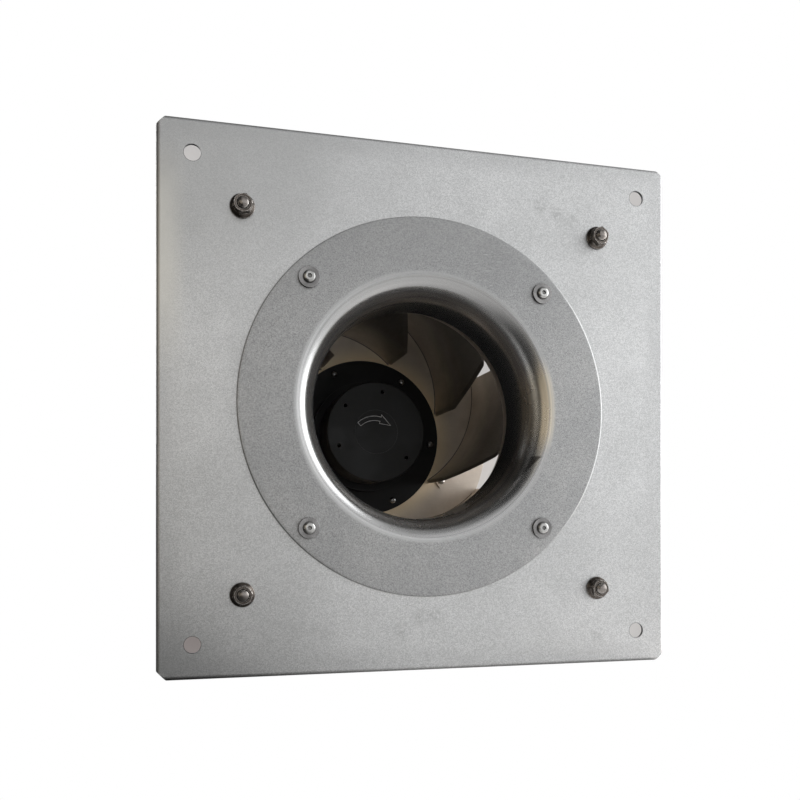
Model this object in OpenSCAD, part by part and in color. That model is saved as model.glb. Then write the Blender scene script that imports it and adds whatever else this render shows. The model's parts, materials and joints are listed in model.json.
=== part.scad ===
// Plug fan with a square mounting plate, an inlet ring and an external-rotor motor
// Working frame of the modules: z is the depth behind the plate's front face,
// x points right and y points down as seen from the inlet side

/* [Mounting plate] */
// Side of the square plate
plate_side = 400; // [360:1:480]
// Thickness of the plate's sheet
plate_t = 2; // [1.5:0.1:3]
// Depth of the edges bent back
plate_lip = 20; // [12:1:30]
// Outer radius of the bends
bend_r = 3; // [2.5:0.1:3.4]
// Size of the cut-off corners
corner_cut = 7; // [6.9:0.1:10]
// Distance of the corner holes from the plate's edges
bolt_inset = 25; // [20:1:30]
// Diameter of the corner holes
bolt_hole_d = 12; // [9:0.5:14]
// Distance of the strut studs from the plate's edges
stud_inset = 60; // [52:1:64]

/* [Inlet ring] */
// Diameter of the throat
throat_d = 170; // [160:1:178]
// Radius of the lip where the curve leaves the flange
lip_r = 14; // [11:0.5:17]
// Radius of the sweep that runs into the throat
sweep_r = 40; // [34:0.5:46]
// Turn of the lip before the sweep takes over
lip_turn = 55; // [48:1:60]
// Length of the ring from the front of its flange to its rear edge
ring_len = 58.5; // [52:0.5:70]
// Thickness of the ring's sheet
ring_t = 1.5; // [1:0.1:2]
// Width of the flat flange
flange_w = 40.3; // [36:0.1:46]
// Distance of the ring's screws from the flange's outer edge
ring_screw_inset = 14; // [11:0.5:18]

/* [Impeller] */
// Outer diameter of the impeller
impeller_d = 266; // [250:1:290]
// Length from the collar's front edge to the backplate's front face
impeller_len = 190; // [175:1:210]
// Number of blades
blade_count = 7; // [6:1:8]
// Thickness of the blades
blade_t = 2; // [1.5:0.1:3]
// Diameter on which the blades start
blade_root_d = 164; // [158:1:170]
// Angle over which a blade sweeps back
blade_wrap = 60; // [54:1:66]
// Radius of the blades' curve
blade_arc_r = 106; // [98:1:130]
// Thickness of the shroud and backplate
disc_t = 2; // [1.5:0.1:3]
// Running gap between the inlet ring and the impeller's collar
running_gap = 1.5; // [1:0.1:2.5]
// Length of the collar that overlaps the inlet ring
collar_overlap = 7; // [4:0.5:10]
// Angle at which the shroud meets the outer diameter
shroud_turn = 68; // [58:1:76]

/* [Motor] */
// Outer diameter of the rotor cup
rotor_d = 96; // [94:0.5:104]
// Length of the rotor cup
rotor_len = 61; // [59:0.5:66]
// Diameter of the shaft
shaft_d = 12; // [11:0.1:12.5]
// Length of the stator's stack of sheets
stack_len = 32; // [26:1:33]
// Diameter of the electronics housing
housing_d = 124; // [120:1:130]
// Length of the electronics housing
housing_len = 48; // [46:1:60]

/* [Struts] */
// Diameter of the strut bars
strut_d = 10; // [9:0.1:11]
// Radius of the bend, to the bar's centre
strut_bend_r = 22; // [16:1:30]
// Diameter of the stud thread at the front of each strut
stud_d = 8; // [7.4:0.1:8.4]
// Length of stud in front of the plate
stud_proud = 11; // [9:0.5:16]

/* [Hidden] */
$fn = 96;
slip = 0.05;
seat = 0.1;
over = 1;
joint_turn = 0.5;
plate_half = plate_side / 2;
bolt_pos = plate_half - bolt_inset;
stud_pos = plate_half - stud_inset;
stud_r = stud_pos * sqrt(2);

throat_r = throat_d / 2;
lip_start_r = throat_r + lip_r * sin(lip_turn) + sweep_r * (1 - sin(lip_turn));
lip_z = lip_r - ring_t;
sweep_z = lip_z + (sweep_r - lip_r) * cos(lip_turn);
ring_r = lip_start_r + flange_w;
ring_screw_r = ring_r - ring_screw_inset;
ring_exit_z = ring_len - ring_t;
opening_gap = 2;
opening_r = lip_start_r + opening_gap;
washer_t = 2;
washer_r = 8;
ring_screw_d = 5;
button_r = 4.75;
button_h = 2.75;
button_rim = 0.6;
ring_screw_len = 14;
ring_hole_gap = 0.25;
washer_gap = 0.15;
rivet_nut_r = 3.55;
rivet_nut_body_r = 5;
rivet_nut_len = 7;

collar_r = throat_r + ring_t + running_gap;
impeller_r = impeller_d / 2;
collar_z = ring_exit_z - collar_overlap;
collar_end = 1;
shroud_z = ring_exit_z + collar_end;
shroud_r = (impeller_r - collar_r) / (1 - cos(shroud_turn));
back_z = collar_z + impeller_len;
back_end_z = back_z + disc_t;

root_r = blade_root_d / 2;
knee_len = 64;
lead_len = 33;
lead_gap = 1.5;
lead_round = 5;
knee_z = back_z - knee_len;
lead_z = shroud_z + lead_len;
lead_r = collar_r + shroud_r - sqrt(pow(shroud_r, 2) - pow(lead_len, 2)) - lead_gap;
lead_lean = atan2(lead_r - root_r, knee_z - lead_z);
lead_tangent = lead_round * tan((90 - lead_lean) / 2);
blade_a = [root_r, 0];
blade_b = impeller_r * [cos(blade_wrap), -sin(blade_wrap)];
chord = blade_b - blade_a;
chord_len = norm(chord);
chord_normal = [chord[1], -chord[0]] / chord_len;
arc_c = (blade_a + blade_b) / 2 + chord_normal * sqrt(pow(blade_arc_r, 2) - pow(chord_len / 2, 2));
arc_a = atan2(blade_a[1] - arc_c[1], blade_a[0] - arc_c[0]);
arc_b = atan2(blade_b[1] - arc_c[1], blade_b[0] - arc_c[0]);
arc_span = arc_a - arc_b;
foot_w = 12;
foot_len = 11;
foot_t = 1.5;
foot_rivet = 6.5;
blade_out_r = blade_arc_r + blade_t / 2;
foot_rivet_r = blade_out_r + foot_rivet;
foot_span = foot_len / blade_arc_r * 180 / PI;
foot_shares = [0.1, 0.6];
rivet_r = 1.75;
rivet_head = 3.6;
first_blade = -18.9;

rotor_r = rotor_d / 2;
rotor_wall = 3;
cup_r = rotor_r - rotor_wall;
face_z = back_z - rotor_len;
face_t = 3.5;
face_round = 1.2;
boss_len = 9.5;
boss_neck = 2;
boss_wall = 10;
disc_r = 21;
disc_proud = 0.4;
face_hole = 2;
face_hole_inset = 9.3;
hub_gap = 3.3;
hub_t = 3;
hub_shoulder_w = 7;
hub_shoulder_len = 16;
hub_hole_gap = 9;
hub_rivet_inset = 7.7;
hub_rivet = 2;
hub_rivet_head = 3.4;
hub_r = root_r - hub_gap;
hub_shoulder_r = rotor_r + hub_shoulder_w;
hub_shoulder_z = back_z - hub_shoulder_len;
hub_hole_r = rotor_r + hub_hole_gap;
hub_rivet_r = hub_r - hub_rivet_inset;
hub_rivet_first = 64.4;
face_hole_r = rotor_r - face_hole_inset;
face_hole_first = -81;
face_hole_step = 60;
face_hole_places = [0, 2, 4, 5];
magnet_count = 10;
magnet_t = 5.3;
magnet_over = 1.5;
magnet_gap = 0.9;
magnet_len = stack_len + 2 * magnet_over;

shaft_r = shaft_d / 2;
bearing_w = 8;
bearing_t = 8;
bearing_ring_t = 2.6;
bearing_r = shaft_r + bearing_t;
pitch_r = shaft_r + bearing_t / 2;
ball_r = 2.38;
ball_count = 8;
race_gap = 0.17;
race_r = ball_r + race_gap;
inner_ring_r = shaft_r + bearing_ring_t;
outer_ring_r = bearing_r - bearing_ring_t;
cage_r = 0.8;
cage_w = 6.4;
cage_gap = 0.12;
fit = 0.02;
front_bearing_z = face_z + face_t + boss_len;

housing_gap = 6;
housing_z = back_end_z + housing_gap;
housing_r = housing_d / 2;
housing_wall = 4;
housing_flange_w = 22;
housing_flange_r = housing_r + housing_flange_w;
housing_flange_t = 7;
housing_end_z = housing_z + housing_len;
chamber_z = housing_z + housing_flange_t;
rear_bearing_inset = 2;
rear_bearing_z = housing_z + rear_bearing_inset;
spring_t = 1.2;
spring_gap = 0.3;
tube_wall = 3.5;
tube_r = bearing_r + tube_wall;
tube_front = 0.5;
tube_over = 9;
tube_end_z = chamber_z + tube_over;
tube_collar_t = 4;
tube_collar_w = 4;
seat_wall = 6.5;
seat_inset = 2;
hub_boss_r = tube_r + seat_wall;
stack_gap = 1.5;
stack_z = front_bearing_z + bearing_w + stack_gap;
stack_r = cup_r - magnet_t - magnet_gap;
tooth_count = 12;
tooth_w = 5.4;
yoke_w = 7.5;
yoke_r = tube_r + yoke_w;
shoe_t = 3;
coil_w = 3.1;
coil_over = 4.5;
coil_inset = 1.5;
coil_short = 3;
coil_gap = 0.2;
shaft_inset = 2;
shaft_chamfer = 1;
clip_w = 2;
clip_t = 1;
clip_groove = 0.5;
clip_z = rear_bearing_z + bearing_w;

fin_count = 24;
fin_t = 2.2;
fin_h = 6;
fin_front = 8;
fin_rear = 4;
lug_r = 5;
lug_inset = 6;
lug_pos = housing_r - lug_inset;
lug_count = 6;
post_r = 3.5;
post_inset = 22;
post_pos = housing_r - post_inset;
board_gap = 12;
board_r = housing_r - board_gap;
board_t = 1.6;
board_lift = 16;
board_z = chamber_z + board_lift;
board_screw_d = 3;
board_screw_len = 8;
board_head_r = 2.75;
board_head_h = 2.6;
capacitor_r = 8;
capacitor_h = 16;
capacitor_inset = 12;
power_w = 18;
power_t = 12;
power_h = 9;
gasket_t = 1;
cover_t = 4;
cover_z = housing_end_z + gasket_t;
dome_inset = 15;
dome_draft = 3;
dome_h = 4;
cover_screw_d = 4;
cover_screw_len = 15;
cover_head_r = 3.5;
cover_head_h = 4;

gland_lift = 22;
gland_len = 14;
gland_z = chamber_z + gland_lift;
gland_face = housing_r + gland_len;
gland_r = 10;
gland_boss_r = 13.5;
gland_collar = 5;
gland_neck_r = 9;
gland_neck_len = 10;
gland_bore_r = 6;
gland_stub = 11;
gland_nut_gap = 0.5;
gland_nut_len = 9;
gland_nose_r = 11;
gland_nose_end = 8.5;
gland_nose_len = 6;
gland_seal_len = 14;

bracket_t = 5;
bracket_gap = 2;
bracket_w = 22;
bracket_screw_inset = 7;
bracket_in_r = housing_r + fin_h + bracket_gap;
bracket_out_r = bracket_in_r + bracket_w;
bracket_screw_r = bracket_in_r + bracket_screw_inset;
bracket_screw_d = 6;
bracket_screw_grip = 6;
bracket_head_r = 5;
bracket_head_h = 6;
screw_gap = 0.3;
bracket_screw_first = 22.5;
groove = 1.5;
strut_r = strut_d / 2;
stud_thread_r = stud_d / 2;
arm_z = chamber_z + bracket_t + strut_r - groove;
arm_inset = 4;
arm_end_r = bracket_in_r + arm_inset;
nut_h = 8;
nut_flange_r = 8.95;
nut_hex_r = 7.5;
nut_rim = 1.2;
nut_cone = 2;
stud_gap = 0.5;
stud_run = 2;
strut_start_z = plate_t + nut_h + stud_run;

BLADES = [for (i = [1 : blade_count]) str("blade_", i)];

zinc = "#b7b9b7";
ring_zinc = "#a6a8a7";
bolt_steel = "#8d8780";
bright_steel = "#c9c9c6";
coat_black = "#1e1f21";
impeller_metal = "#a59d93";
cast_metal = "#b3b6b9";
copper = "#b06a35";
rubber_black = "#161616";
gland_black = "#2b2b2d";
board_green = "#2d5a3c";

// Turn from the working frame into the part's frame, with z up and the inlet facing -y
module upright() rotate([-90, 0, 0]) children();

// Place copies on a circle
module around(count, radius, first = 0)
    for (i = [0 : count - 1])
        rotate([0, 0, first + i * 360 / count]) translate([radius, 0, 0]) children();

// Straight tube along z
module tube(r_out, r_in, z0, z1)
    translate([0, 0, z0]) difference() {
        cylinder(r = r_out, h = z1 - z0);
        translate([0, 0, -over]) cylinder(r = r_in, h = z1 - z0 + 2 * over);
    }

// Rod along z
module rod(r, z0, z1) translate([0, 0, z0]) cylinder(r = r, h = z1 - z0);

// Section of the tray: a web with both edges bent back
module lip_section(half, depth, r)
    union() {
        translate([-half, r]) square([2 * half, depth - r]);
        translate([-half + r, 0]) square([2 * (half - r), depth]);
        for (s = [-1, 1]) translate([s * (half - r), r]) circle(r = r);
    }

// Channel as long as the flat of the plate
module plate_channel()
    rotate([90, 0, 0]) linear_extrude(height = plate_side - 2 * bend_r, center = true) difference() {
        lip_section(plate_half, plate_lip, bend_r);
        translate([0, plate_t]) lip_section(plate_half - plate_t, plate_lip, bend_r - plate_t);
    }

// Outline that cuts the corners off
module corner_outline()
    polygon([for (q = [0 : 3], s = [-1, 1], p = [[plate_half, s * (plate_half - corner_cut)]])
        [p[0] * cos(90 * q) - p[1] * sin(90 * q), p[0] * sin(90 * q) + p[1] * cos(90 * q)]]);

module square_pattern(pos)
    for (sx = [-1, 1], sy = [-1, 1]) translate([sx * pos, sy * pos, 0]) children();

module mounting_plate()
    color(zinc) upright() difference() {
        intersection() {
            union() {
                plate_channel();
                rotate([0, 0, 90]) plate_channel();
            }
            translate([0, 0, -over]) linear_extrude(height = plate_lip + 2 * over) corner_outline();
        }
        rod(opening_r, -over, plate_lip);
        square_pattern(bolt_pos) rod(bolt_hole_d / 2, -over, plate_lip);
        square_pattern(stud_pos) rod(stud_thread_r + stud_gap, -over, plate_lip);
        around(4, ring_screw_r, 45) rod(rivet_nut_r + slip, -over, plate_lip);
    }

// Sheet that follows an arc about the given centre, cut to a box in r and z
module sheet_arc(c, r, t, box_min, box_max)
    intersection() {
        translate(c) difference() {
            circle(r = r, $fn = 240);
            circle(r = r - t, $fn = 240);
        }
        translate(box_min) square(box_max - box_min);
    }

// Sheet that follows the lip's arc from the flange to the start of the sweep
module lip_arc()
    intersection() {
        translate([lip_start_r, lip_z]) difference() {
            circle(r = lip_r);
            circle(r = lip_r - ring_t);
        }
        translate([lip_start_r, lip_z]) polygon([[0, 0], [0, -2 * lip_r],
            [-2 * lip_r * tan(lip_turn + joint_turn), -2 * lip_r]]);
    }

// Sheet that follows the sweep's arc into the throat
module sweep_arc()
    intersection() {
        translate([throat_r + sweep_r, sweep_z]) difference() {
            circle(r = sweep_r, $fn = 240);
            circle(r = sweep_r - ring_t, $fn = 240);
        }
        translate([throat_r + sweep_r, sweep_z]) polygon([[0, 0],
            [-2 * sweep_r * sin(lip_turn), -2 * sweep_r * cos(lip_turn)], [-2 * sweep_r, 0]]);
    }

module inlet_ring()
    color(ring_zinc) upright() difference() {
        rotate_extrude($fn = 180) union() {
            translate([lip_start_r, -ring_t]) square([flange_w, ring_t]);
            lip_arc();
            sweep_arc();
            translate([throat_r, sweep_z]) square([ring_t, ring_exit_z - sweep_z]);
        }
        around(4, ring_screw_r, 45) rod(ring_screw_d / 2 + ring_hole_gap, -ring_t - over, over);
    }

// Socket-head screw with its head's seat at z = 0 and its head towards -z
module socket_screw(d, len, r, h)
    difference() {
        union() {
            rod(r, -h, 0);
            rod(d / 2, -over, len);
        }
        translate([0, 0, -h - over]) cylinder(r = d * 0.46, h = h * 0.55 + over, $fn = 6);
    }

// Button-head screw, its dome an arc from the rim to the flat round the socket
module button_screw(d, len, r, h, rim)
    difference() {
        union() {
            rotate_extrude() polygon(concat([[0, 0], [r, 0]],
                arc_points([r - (h - rim), -rim], h - rim, 0, -90), [[0, -h]]));
            rod(d / 2, -over, len);
        }
        translate([0, 0, -h - over]) cylinder(r = d * 0.35, h = h * 0.6 + over, $fn = 6);
    }

module inlet_ring_screws()
    color(bright_steel) upright() around(4, ring_screw_r, 45) translate([0, 0, -ring_t - washer_t])
        button_screw(ring_screw_d, ring_screw_len, button_r, button_h, button_rim);

module inlet_ring_washers()
    color(bright_steel) upright() around(4, ring_screw_r, 45)
        tube(washer_r, ring_screw_d / 2 + washer_gap, -ring_t - washer_t, -ring_t);

module inlet_ring_rivet_nuts()
    color(bolt_steel) upright() around(4, ring_screw_r, 45) difference() {
        union() {
            rod(rivet_nut_r, 0, plate_t + over);
            rod(rivet_nut_body_r, plate_t, plate_t + rivet_nut_len);
        }
        rod(ring_screw_d / 2 + slip, -over, plate_t + rivet_nut_len + over);
    }

// Bent bar from the plate to the motor bracket, in the plane y = 0
module strut()
    union() {
        translate([stud_r, 0, 0]) {
            rod(stud_thread_r, -stud_proud, strut_start_z + over);
            rod(strut_r, strut_start_z, arm_z - strut_bend_r);
        }
        translate([stud_r - strut_bend_r, 0, arm_z - strut_bend_r]) rotate([90, 0, 0])
            rotate_extrude(angle = 90) translate([strut_bend_r, 0]) circle(r = strut_r);
        translate([arm_end_r, 0, arm_z]) rotate([0, 90, 0])
            cylinder(r = strut_r, h = stud_r - strut_bend_r - arm_end_r);
    }

module placed_strut(turn) color(coat_black) upright() rotate([0, 0, turn]) strut();
module strut_lower_right() placed_strut(45);
module strut_lower_left() placed_strut(135);
module strut_upper_left() placed_strut(225);
module strut_upper_right() placed_strut(315);

// Flange nut that rests on z = 0 and points towards -z
module flange_nut()
    difference() {
        union() {
            rod(nut_flange_r, -nut_rim, 0);
            translate([0, 0, -nut_rim - nut_cone])
                cylinder(r1 = nut_hex_r * 0.9, r2 = nut_flange_r, h = nut_cone);
            translate([0, 0, -nut_h]) cylinder(r = nut_hex_r, h = nut_h - over, $fn = 6);
        }
        rod(stud_thread_r + slip, -nut_h - over, over);
    }

module front_flange_nuts()
    color(bolt_steel) upright() square_pattern(stud_pos) flange_nut();

module rear_flange_nuts()
    color(bolt_steel) upright() square_pattern(stud_pos)
        translate([0, 0, plate_t]) mirror([0, 0, 1]) flange_nut();

module motor_bracket()
    color(coat_black) upright() difference() {
        tube(bracket_out_r, bracket_in_r, chamber_z, chamber_z + bracket_t);
        for (q = [0 : 3]) rotate([0, 0, 45 + 90 * q]) translate([bracket_in_r - over, 0, arm_z])
            rotate([0, 90, 0]) cylinder(r = strut_r + slip, h = bracket_out_r);
        around(4, bracket_screw_r, bracket_screw_first)
            rod(bracket_screw_d / 2 + screw_gap, chamber_z - over, chamber_z + bracket_t + over);
    }

module bracket_screws()
    color(bolt_steel) upright() around(4, bracket_screw_r, bracket_screw_first)
        translate([0, 0, chamber_z + bracket_t]) mirror([0, 0, 1])
            socket_screw(bracket_screw_d, bracket_t + bracket_screw_grip, bracket_head_r, bracket_head_h);

// Hollow body of the housing, its flange and the boss for the bearing tube
module housing_body()
    union() {
        rod(housing_flange_r, housing_z, chamber_z);
        tube(housing_r, housing_r - housing_wall, chamber_z - over, housing_end_z);
        rod(hub_boss_r, chamber_z - over, tube_end_z - seat_inset);
        around(lug_count, lug_pos) rod(lug_r, chamber_z - over, housing_end_z);
        around(4, post_pos, 45) rod(post_r, chamber_z - over, board_z);
        around(fin_count, housing_r - over, 180 / fin_count)
            translate([0, -fin_t / 2, chamber_z + fin_front])
                cube([fin_h + over, fin_t, housing_end_z - chamber_z - fin_front - fin_rear]);
    }

module gland_boss()
    difference() {
        translate([0, 0, gland_z]) rotate([-90, 0, 0]) cylinder(r = gland_boss_r, h = gland_face);
        rod(housing_r - housing_wall / 2, chamber_z - over, housing_end_z + over);
    }

module electronics_housing()
    color(cast_metal) upright() difference() {
        union() {
            housing_body();
            gland_boss();
        }
        rod(tube_r + slip, housing_z - over, tube_end_z + over);
        translate([0, housing_r - housing_wall - over, gland_z]) rotate([-90, 0, 0])
            cylinder(r = gland_r, h = gland_face);
        around(lug_count, lug_pos)
            rod(cover_screw_d / 2 + slip, housing_end_z - cover_screw_len, housing_end_z + over);
        around(4, post_pos, 45)
            rod(board_screw_d / 2 + slip, board_z - board_screw_len - over, board_z + over);
        around(4, bracket_screw_r, bracket_screw_first)
            rod(bracket_screw_d / 2 + slip, housing_z - over, chamber_z + over);
    }

// Disc with the cover's screw holes
module cover_disc(z0, z1)
    difference() {
        rod(housing_r, z0, z1);
        around(lug_count, lug_pos) rod(cover_screw_d / 2 + ring_hole_gap, z0 - over, z1 + over);
    }

module cover_gasket()
    color(rubber_black) upright() difference() {
        cover_disc(housing_end_z, cover_z);
        difference() {
            rod(housing_r - housing_wall, housing_end_z - over, cover_z + over);
            around(lug_count, lug_pos) rod(lug_r, housing_end_z - 2 * over, cover_z + 2 * over);
        }
    }

module electronics_cover()
    color(cast_metal) upright() union() {
        cover_disc(cover_z, cover_z + cover_t);
        translate([0, 0, cover_z + cover_t - over])
            cylinder(r1 = housing_r - dome_inset, r2 = housing_r - dome_inset - dome_draft,
                h = dome_h + over);
    }

module cover_screws()
    color(bright_steel) upright() around(lug_count, lug_pos)
        translate([0, 0, cover_z + cover_t]) mirror([0, 0, 1])
            socket_screw(cover_screw_d, cover_screw_len, cover_head_r, cover_head_h);

// Board with its tall parts: capacitors, a power module and a connector
module circuit_board()
    color(board_green) upright() difference() {
        union() {
            tube(board_r, hub_boss_r + seat_inset, board_z, board_z + board_t);
            for (q = [0 : 2]) rotate([0, 0, 90 * q]) translate([board_r - capacitor_inset, 0, 0])
                rod(capacitor_r, board_z + over, board_z + capacitor_h);
            rotate([0, 0, 270]) translate([board_r - power_w, -power_w / 2, board_z + over])
                cube([power_t, power_w, power_h]);
        }
        around(4, post_pos, 45) rod(board_screw_d / 2 + screw_gap, board_z - over, board_z + board_t + over);
    }

module board_screws()
    color(bright_steel) upright() around(4, post_pos, 45)
        translate([0, 0, board_z + board_t]) mirror([0, 0, 1])
            socket_screw(board_screw_d, board_screw_len, board_head_r, board_head_h);

// Turn a piece that is built along z so that it points down, out of the housing's boss
module gland_axis() translate([0, 0, gland_z]) rotate([-90, 0, 0]) children();

module cable_gland()
    color(gland_black) upright() gland_axis() difference() {
        union() {
            rod(gland_r - slip, gland_face - gland_stub, gland_face + over);
            translate([0, 0, gland_face]) cylinder(r = gland_boss_r, h = gland_collar, $fn = 6);
            rod(gland_neck_r, gland_face + gland_collar - over, gland_face + gland_collar + gland_neck_len);
        }
        rod(gland_bore_r + slip, gland_face, gland_face + gland_collar + gland_neck_len + over);
    }

module gland_nut()
    color(gland_black) upright() gland_axis() difference() {
        union() {
            translate([0, 0, gland_face + gland_collar + gland_nut_gap])
                cylinder(r = gland_boss_r - gland_nut_gap, h = gland_nut_len, $fn = 6);
            translate([0, 0, gland_face + gland_collar + gland_nut_len])
                cylinder(r1 = gland_nose_r, r2 = gland_nose_end, h = gland_nose_len);
        }
        rod(gland_neck_r + slip, gland_face, gland_face + gland_collar + gland_neck_len + slip);
        rod(gland_bore_r + slip, gland_face,
            gland_face + gland_collar + gland_nut_len + gland_nose_len + over);
    }

module gland_seal()
    color(rubber_black) upright() gland_axis()
        rod(gland_bore_r, gland_face, gland_face + gland_collar + gland_seal_len);

module bearing_tube()
    color(cast_metal) upright() difference() {
        union() {
            rod(tube_r, front_bearing_z - tube_front, tube_end_z);
            rod(tube_r + tube_collar_w, housing_z - tube_collar_t, housing_z);
        }
        rod(outer_ring_r, front_bearing_z - over, tube_end_z + over);
        rod(bearing_r + fit, front_bearing_z - over, front_bearing_z + bearing_w);
        rod(bearing_r + fit, rear_bearing_z - spring_t, tube_end_z + over);
    }

module preload_spring()
    color(bright_steel) upright()
        tube(bearing_r - seat, outer_ring_r + spring_gap, rear_bearing_z - spring_t, rear_bearing_z);

// Groove in which a bearing's balls run
module race(z)
    translate([0, 0, z + bearing_w / 2]) rotate_extrude() translate([pitch_r, 0]) circle(r = race_r);

module bearing_outer(z)
    color(bright_steel) upright() difference() {
        tube(bearing_r, outer_ring_r, z, z + bearing_w);
        race(z);
    }

module bearing_inner(z)
    color(bright_steel) upright() difference() {
        tube(inner_ring_r, shaft_r + fit, z, z + bearing_w);
        race(z);
    }

module bearing_balls(z)
    color(bright_steel) upright() translate([0, 0, z + bearing_w / 2])
        around(ball_count, pitch_r) sphere(r = ball_r);

module bearing_cage(z)
    color(bolt_steel) upright() translate([0, 0, z + bearing_w / 2]) difference() {
        tube(pitch_r + cage_r, pitch_r - cage_r, -cage_w / 2, cage_w / 2);
        around(ball_count, pitch_r - 3 * cage_r) rotate([0, 90, 0])
            cylinder(r = ball_r + cage_gap, h = 6 * cage_r);
    }

module front_bearing_outer_ring() bearing_outer(front_bearing_z);
module front_bearing_inner_ring() bearing_inner(front_bearing_z);
module front_bearing_balls() bearing_balls(front_bearing_z);
module front_bearing_cage() bearing_cage(front_bearing_z);
module rear_bearing_outer_ring() bearing_outer(rear_bearing_z);
module rear_bearing_inner_ring() bearing_inner(rear_bearing_z);
module rear_bearing_balls() bearing_balls(rear_bearing_z);
module rear_bearing_cage() bearing_cage(rear_bearing_z);

module stator_core()
    color(bolt_steel) upright() difference() {
        union() {
            rod(yoke_r, stack_z, stack_z + stack_len);
            around(tooth_count, yoke_r - over) translate([0, -tooth_w / 2, stack_z])
                cube([stack_r - yoke_r - shoe_t + 2 * over, tooth_w, stack_len]);
            for (i = [0 : tooth_count - 1]) rotate([0, 0, i * 360 / tooth_count - 12])
                rotate_extrude(angle = 24) translate([stack_r - shoe_t, stack_z])
                    square([shoe_t, stack_len]);
        }
        rod(tube_r + fit, stack_z - over, stack_z + stack_len + over);
    }

module stator_windings()
    color(copper) upright() translate([0, 0, stack_z])
        around(tooth_count, yoke_r + coil_inset) difference() {
        translate([0, -tooth_w / 2 - coil_w, -coil_over])
            cube([stack_r - yoke_r - shoe_t - coil_short, tooth_w + 2 * coil_w, stack_len + 2 * coil_over]);
        translate([-over, -tooth_w / 2 - coil_gap, -coil_gap])
            cube([stack_r - yoke_r, tooth_w + 2 * coil_gap, stack_len + 2 * coil_gap]);
    }

module rotor_cup()
    color(coat_black) upright() difference() {
        rotate_extrude() union() {
            translate([0, face_z]) square([rotor_r - face_round, face_t]);
            translate([rotor_r - face_round, face_z + face_round]) intersection() {
                circle(r = face_round);
                translate([0, -face_round]) square(face_round);
            }
            translate([cup_r, face_z + face_round]) square([rotor_wall, rotor_len - face_round]);
            translate([0, face_z + face_t]) square([shaft_r + boss_wall, boss_len - boss_neck]);
            translate([0, face_z + face_t]) square([inner_ring_r, boss_len]);
            translate([0, face_z - disc_proud]) square([disc_r, disc_proud + over]);
        }
        rod(shaft_r + fit, face_z + shaft_inset, back_z);
        for (k = face_hole_places) rotate([0, 0, face_hole_first + k * face_hole_step])
            translate([face_hole_r, 0, 0]) rod(face_hole, face_z - over, face_z + face_t + over);
    }

module rotor_magnets()
    color(bolt_steel) upright() for (i = [0 : magnet_count - 1]) rotate([0, 0, i * 360 / magnet_count])
        rotate_extrude(angle = 360 / magnet_count - 2)
            translate([cup_r - magnet_t, stack_z - magnet_over]) square([magnet_t - slip, magnet_len]);

module rotor_shaft()
    color(bright_steel) upright() difference() {
        union() {
            rod(shaft_r, face_z + shaft_inset + slip, tube_end_z - shaft_inset - shaft_chamfer);
            translate([0, 0, tube_end_z - shaft_inset - shaft_chamfer])
                cylinder(r1 = shaft_r, r2 = shaft_r - shaft_chamfer, h = shaft_chamfer);
        }
        tube(shaft_r + over, shaft_r - clip_groove, clip_z, clip_z + clip_t + seat);
    }

module shaft_circlip()
    color(bolt_steel) upright()
        tube(shaft_r + clip_w, shaft_r - clip_groove + slip, clip_z, clip_z + clip_t);

// Stepped ring that joins the rotor cup to the impeller
module hub_ring()
    color(coat_black) upright() difference() {
        rotate_extrude() union() {
            translate([rotor_r + fit, back_z - hub_t]) square([hub_r - rotor_r - fit, hub_t]);
            translate([rotor_r + fit, hub_shoulder_z]) square([hub_shoulder_w - fit, hub_shoulder_len]);
        }
        around(6, hub_rivet_r, hub_rivet_first) rod(hub_rivet + slip, back_z - hub_t - over, back_z + over);
    }

// Rivet with a head in front of z0 and a set head behind z1
module rivet(r, head, z0, z1)
    union() {
        rod(r, z0 - over / 2, z1 + over / 2);
        translate([0, 0, z0 - head * 0.6]) cylinder(r1 = head * 0.65, r2 = head, h = head * 0.6);
        translate([0, 0, z1]) cylinder(r1 = head, r2 = head * 0.8, h = head * 0.5);
    }

module hub_rivets()
    color(bright_steel) upright() around(6, hub_rivet_r, hub_rivet_first)
        rivet(hub_rivet, hub_rivet_head, back_z - hub_t, back_end_z);

// Places of the rivets that hold the blades' feet
module foot_places()
    for (i = [0 : blade_count - 1], s = foot_shares)
        rotate([0, 0, first_blade - i * 360 / blade_count]) translate(arc_c)
            rotate([0, 0, arc_a - s * arc_span]) translate([foot_rivet_r, 0, 0]) children();

module impeller_backplate()
    color(impeller_metal) upright() difference() {
        tube(impeller_r, hub_hole_r, back_z, back_end_z);
        around(6, hub_rivet_r, hub_rivet_first) rod(hub_rivet + slip, back_z - over, back_end_z + over);
        foot_places() rod(rivet_r + slip, back_z - over, back_end_z + over);
    }

module impeller_shroud()
    color(impeller_metal) upright() rotate_extrude($fn = 180) union() {
        translate([collar_r, collar_z]) square([disc_t, shroud_z - collar_z]);
        sheet_arc([collar_r + shroud_r, shroud_z], shroud_r, disc_t,
            [collar_r - over, shroud_z], [impeller_r, shroud_z + shroud_r]);
    }

module blade_rivets()
    color(bright_steel) upright() foot_places() rivet(rivet_r, rivet_head, back_z - foot_t, back_end_z);

// Points on an arc
function arc_points(c, r, a0, a1, count = 6) =
    [for (i = [0 : count]) let (a = a0 + (a1 - a0) * i / count) c + r * [cos(a), sin(a)]];

// Space in r and z that a blade fills, from its leading edge with a rounded corner to the outer diameter
module blade_space()
    rotate_extrude($fn = 180) difference() {
        polygon(concat([[root_r, back_z], [root_r, knee_z]],
            arc_points([lead_r + lead_tangent, lead_z + lead_round], lead_round, 180 + lead_lean, 270),
            [[impeller_r, lead_z], [impeller_r, back_z]]));
        translate([collar_r + shroud_r, shroud_z]) circle(r = shroud_r + seat, $fn = 240);
    }

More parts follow.
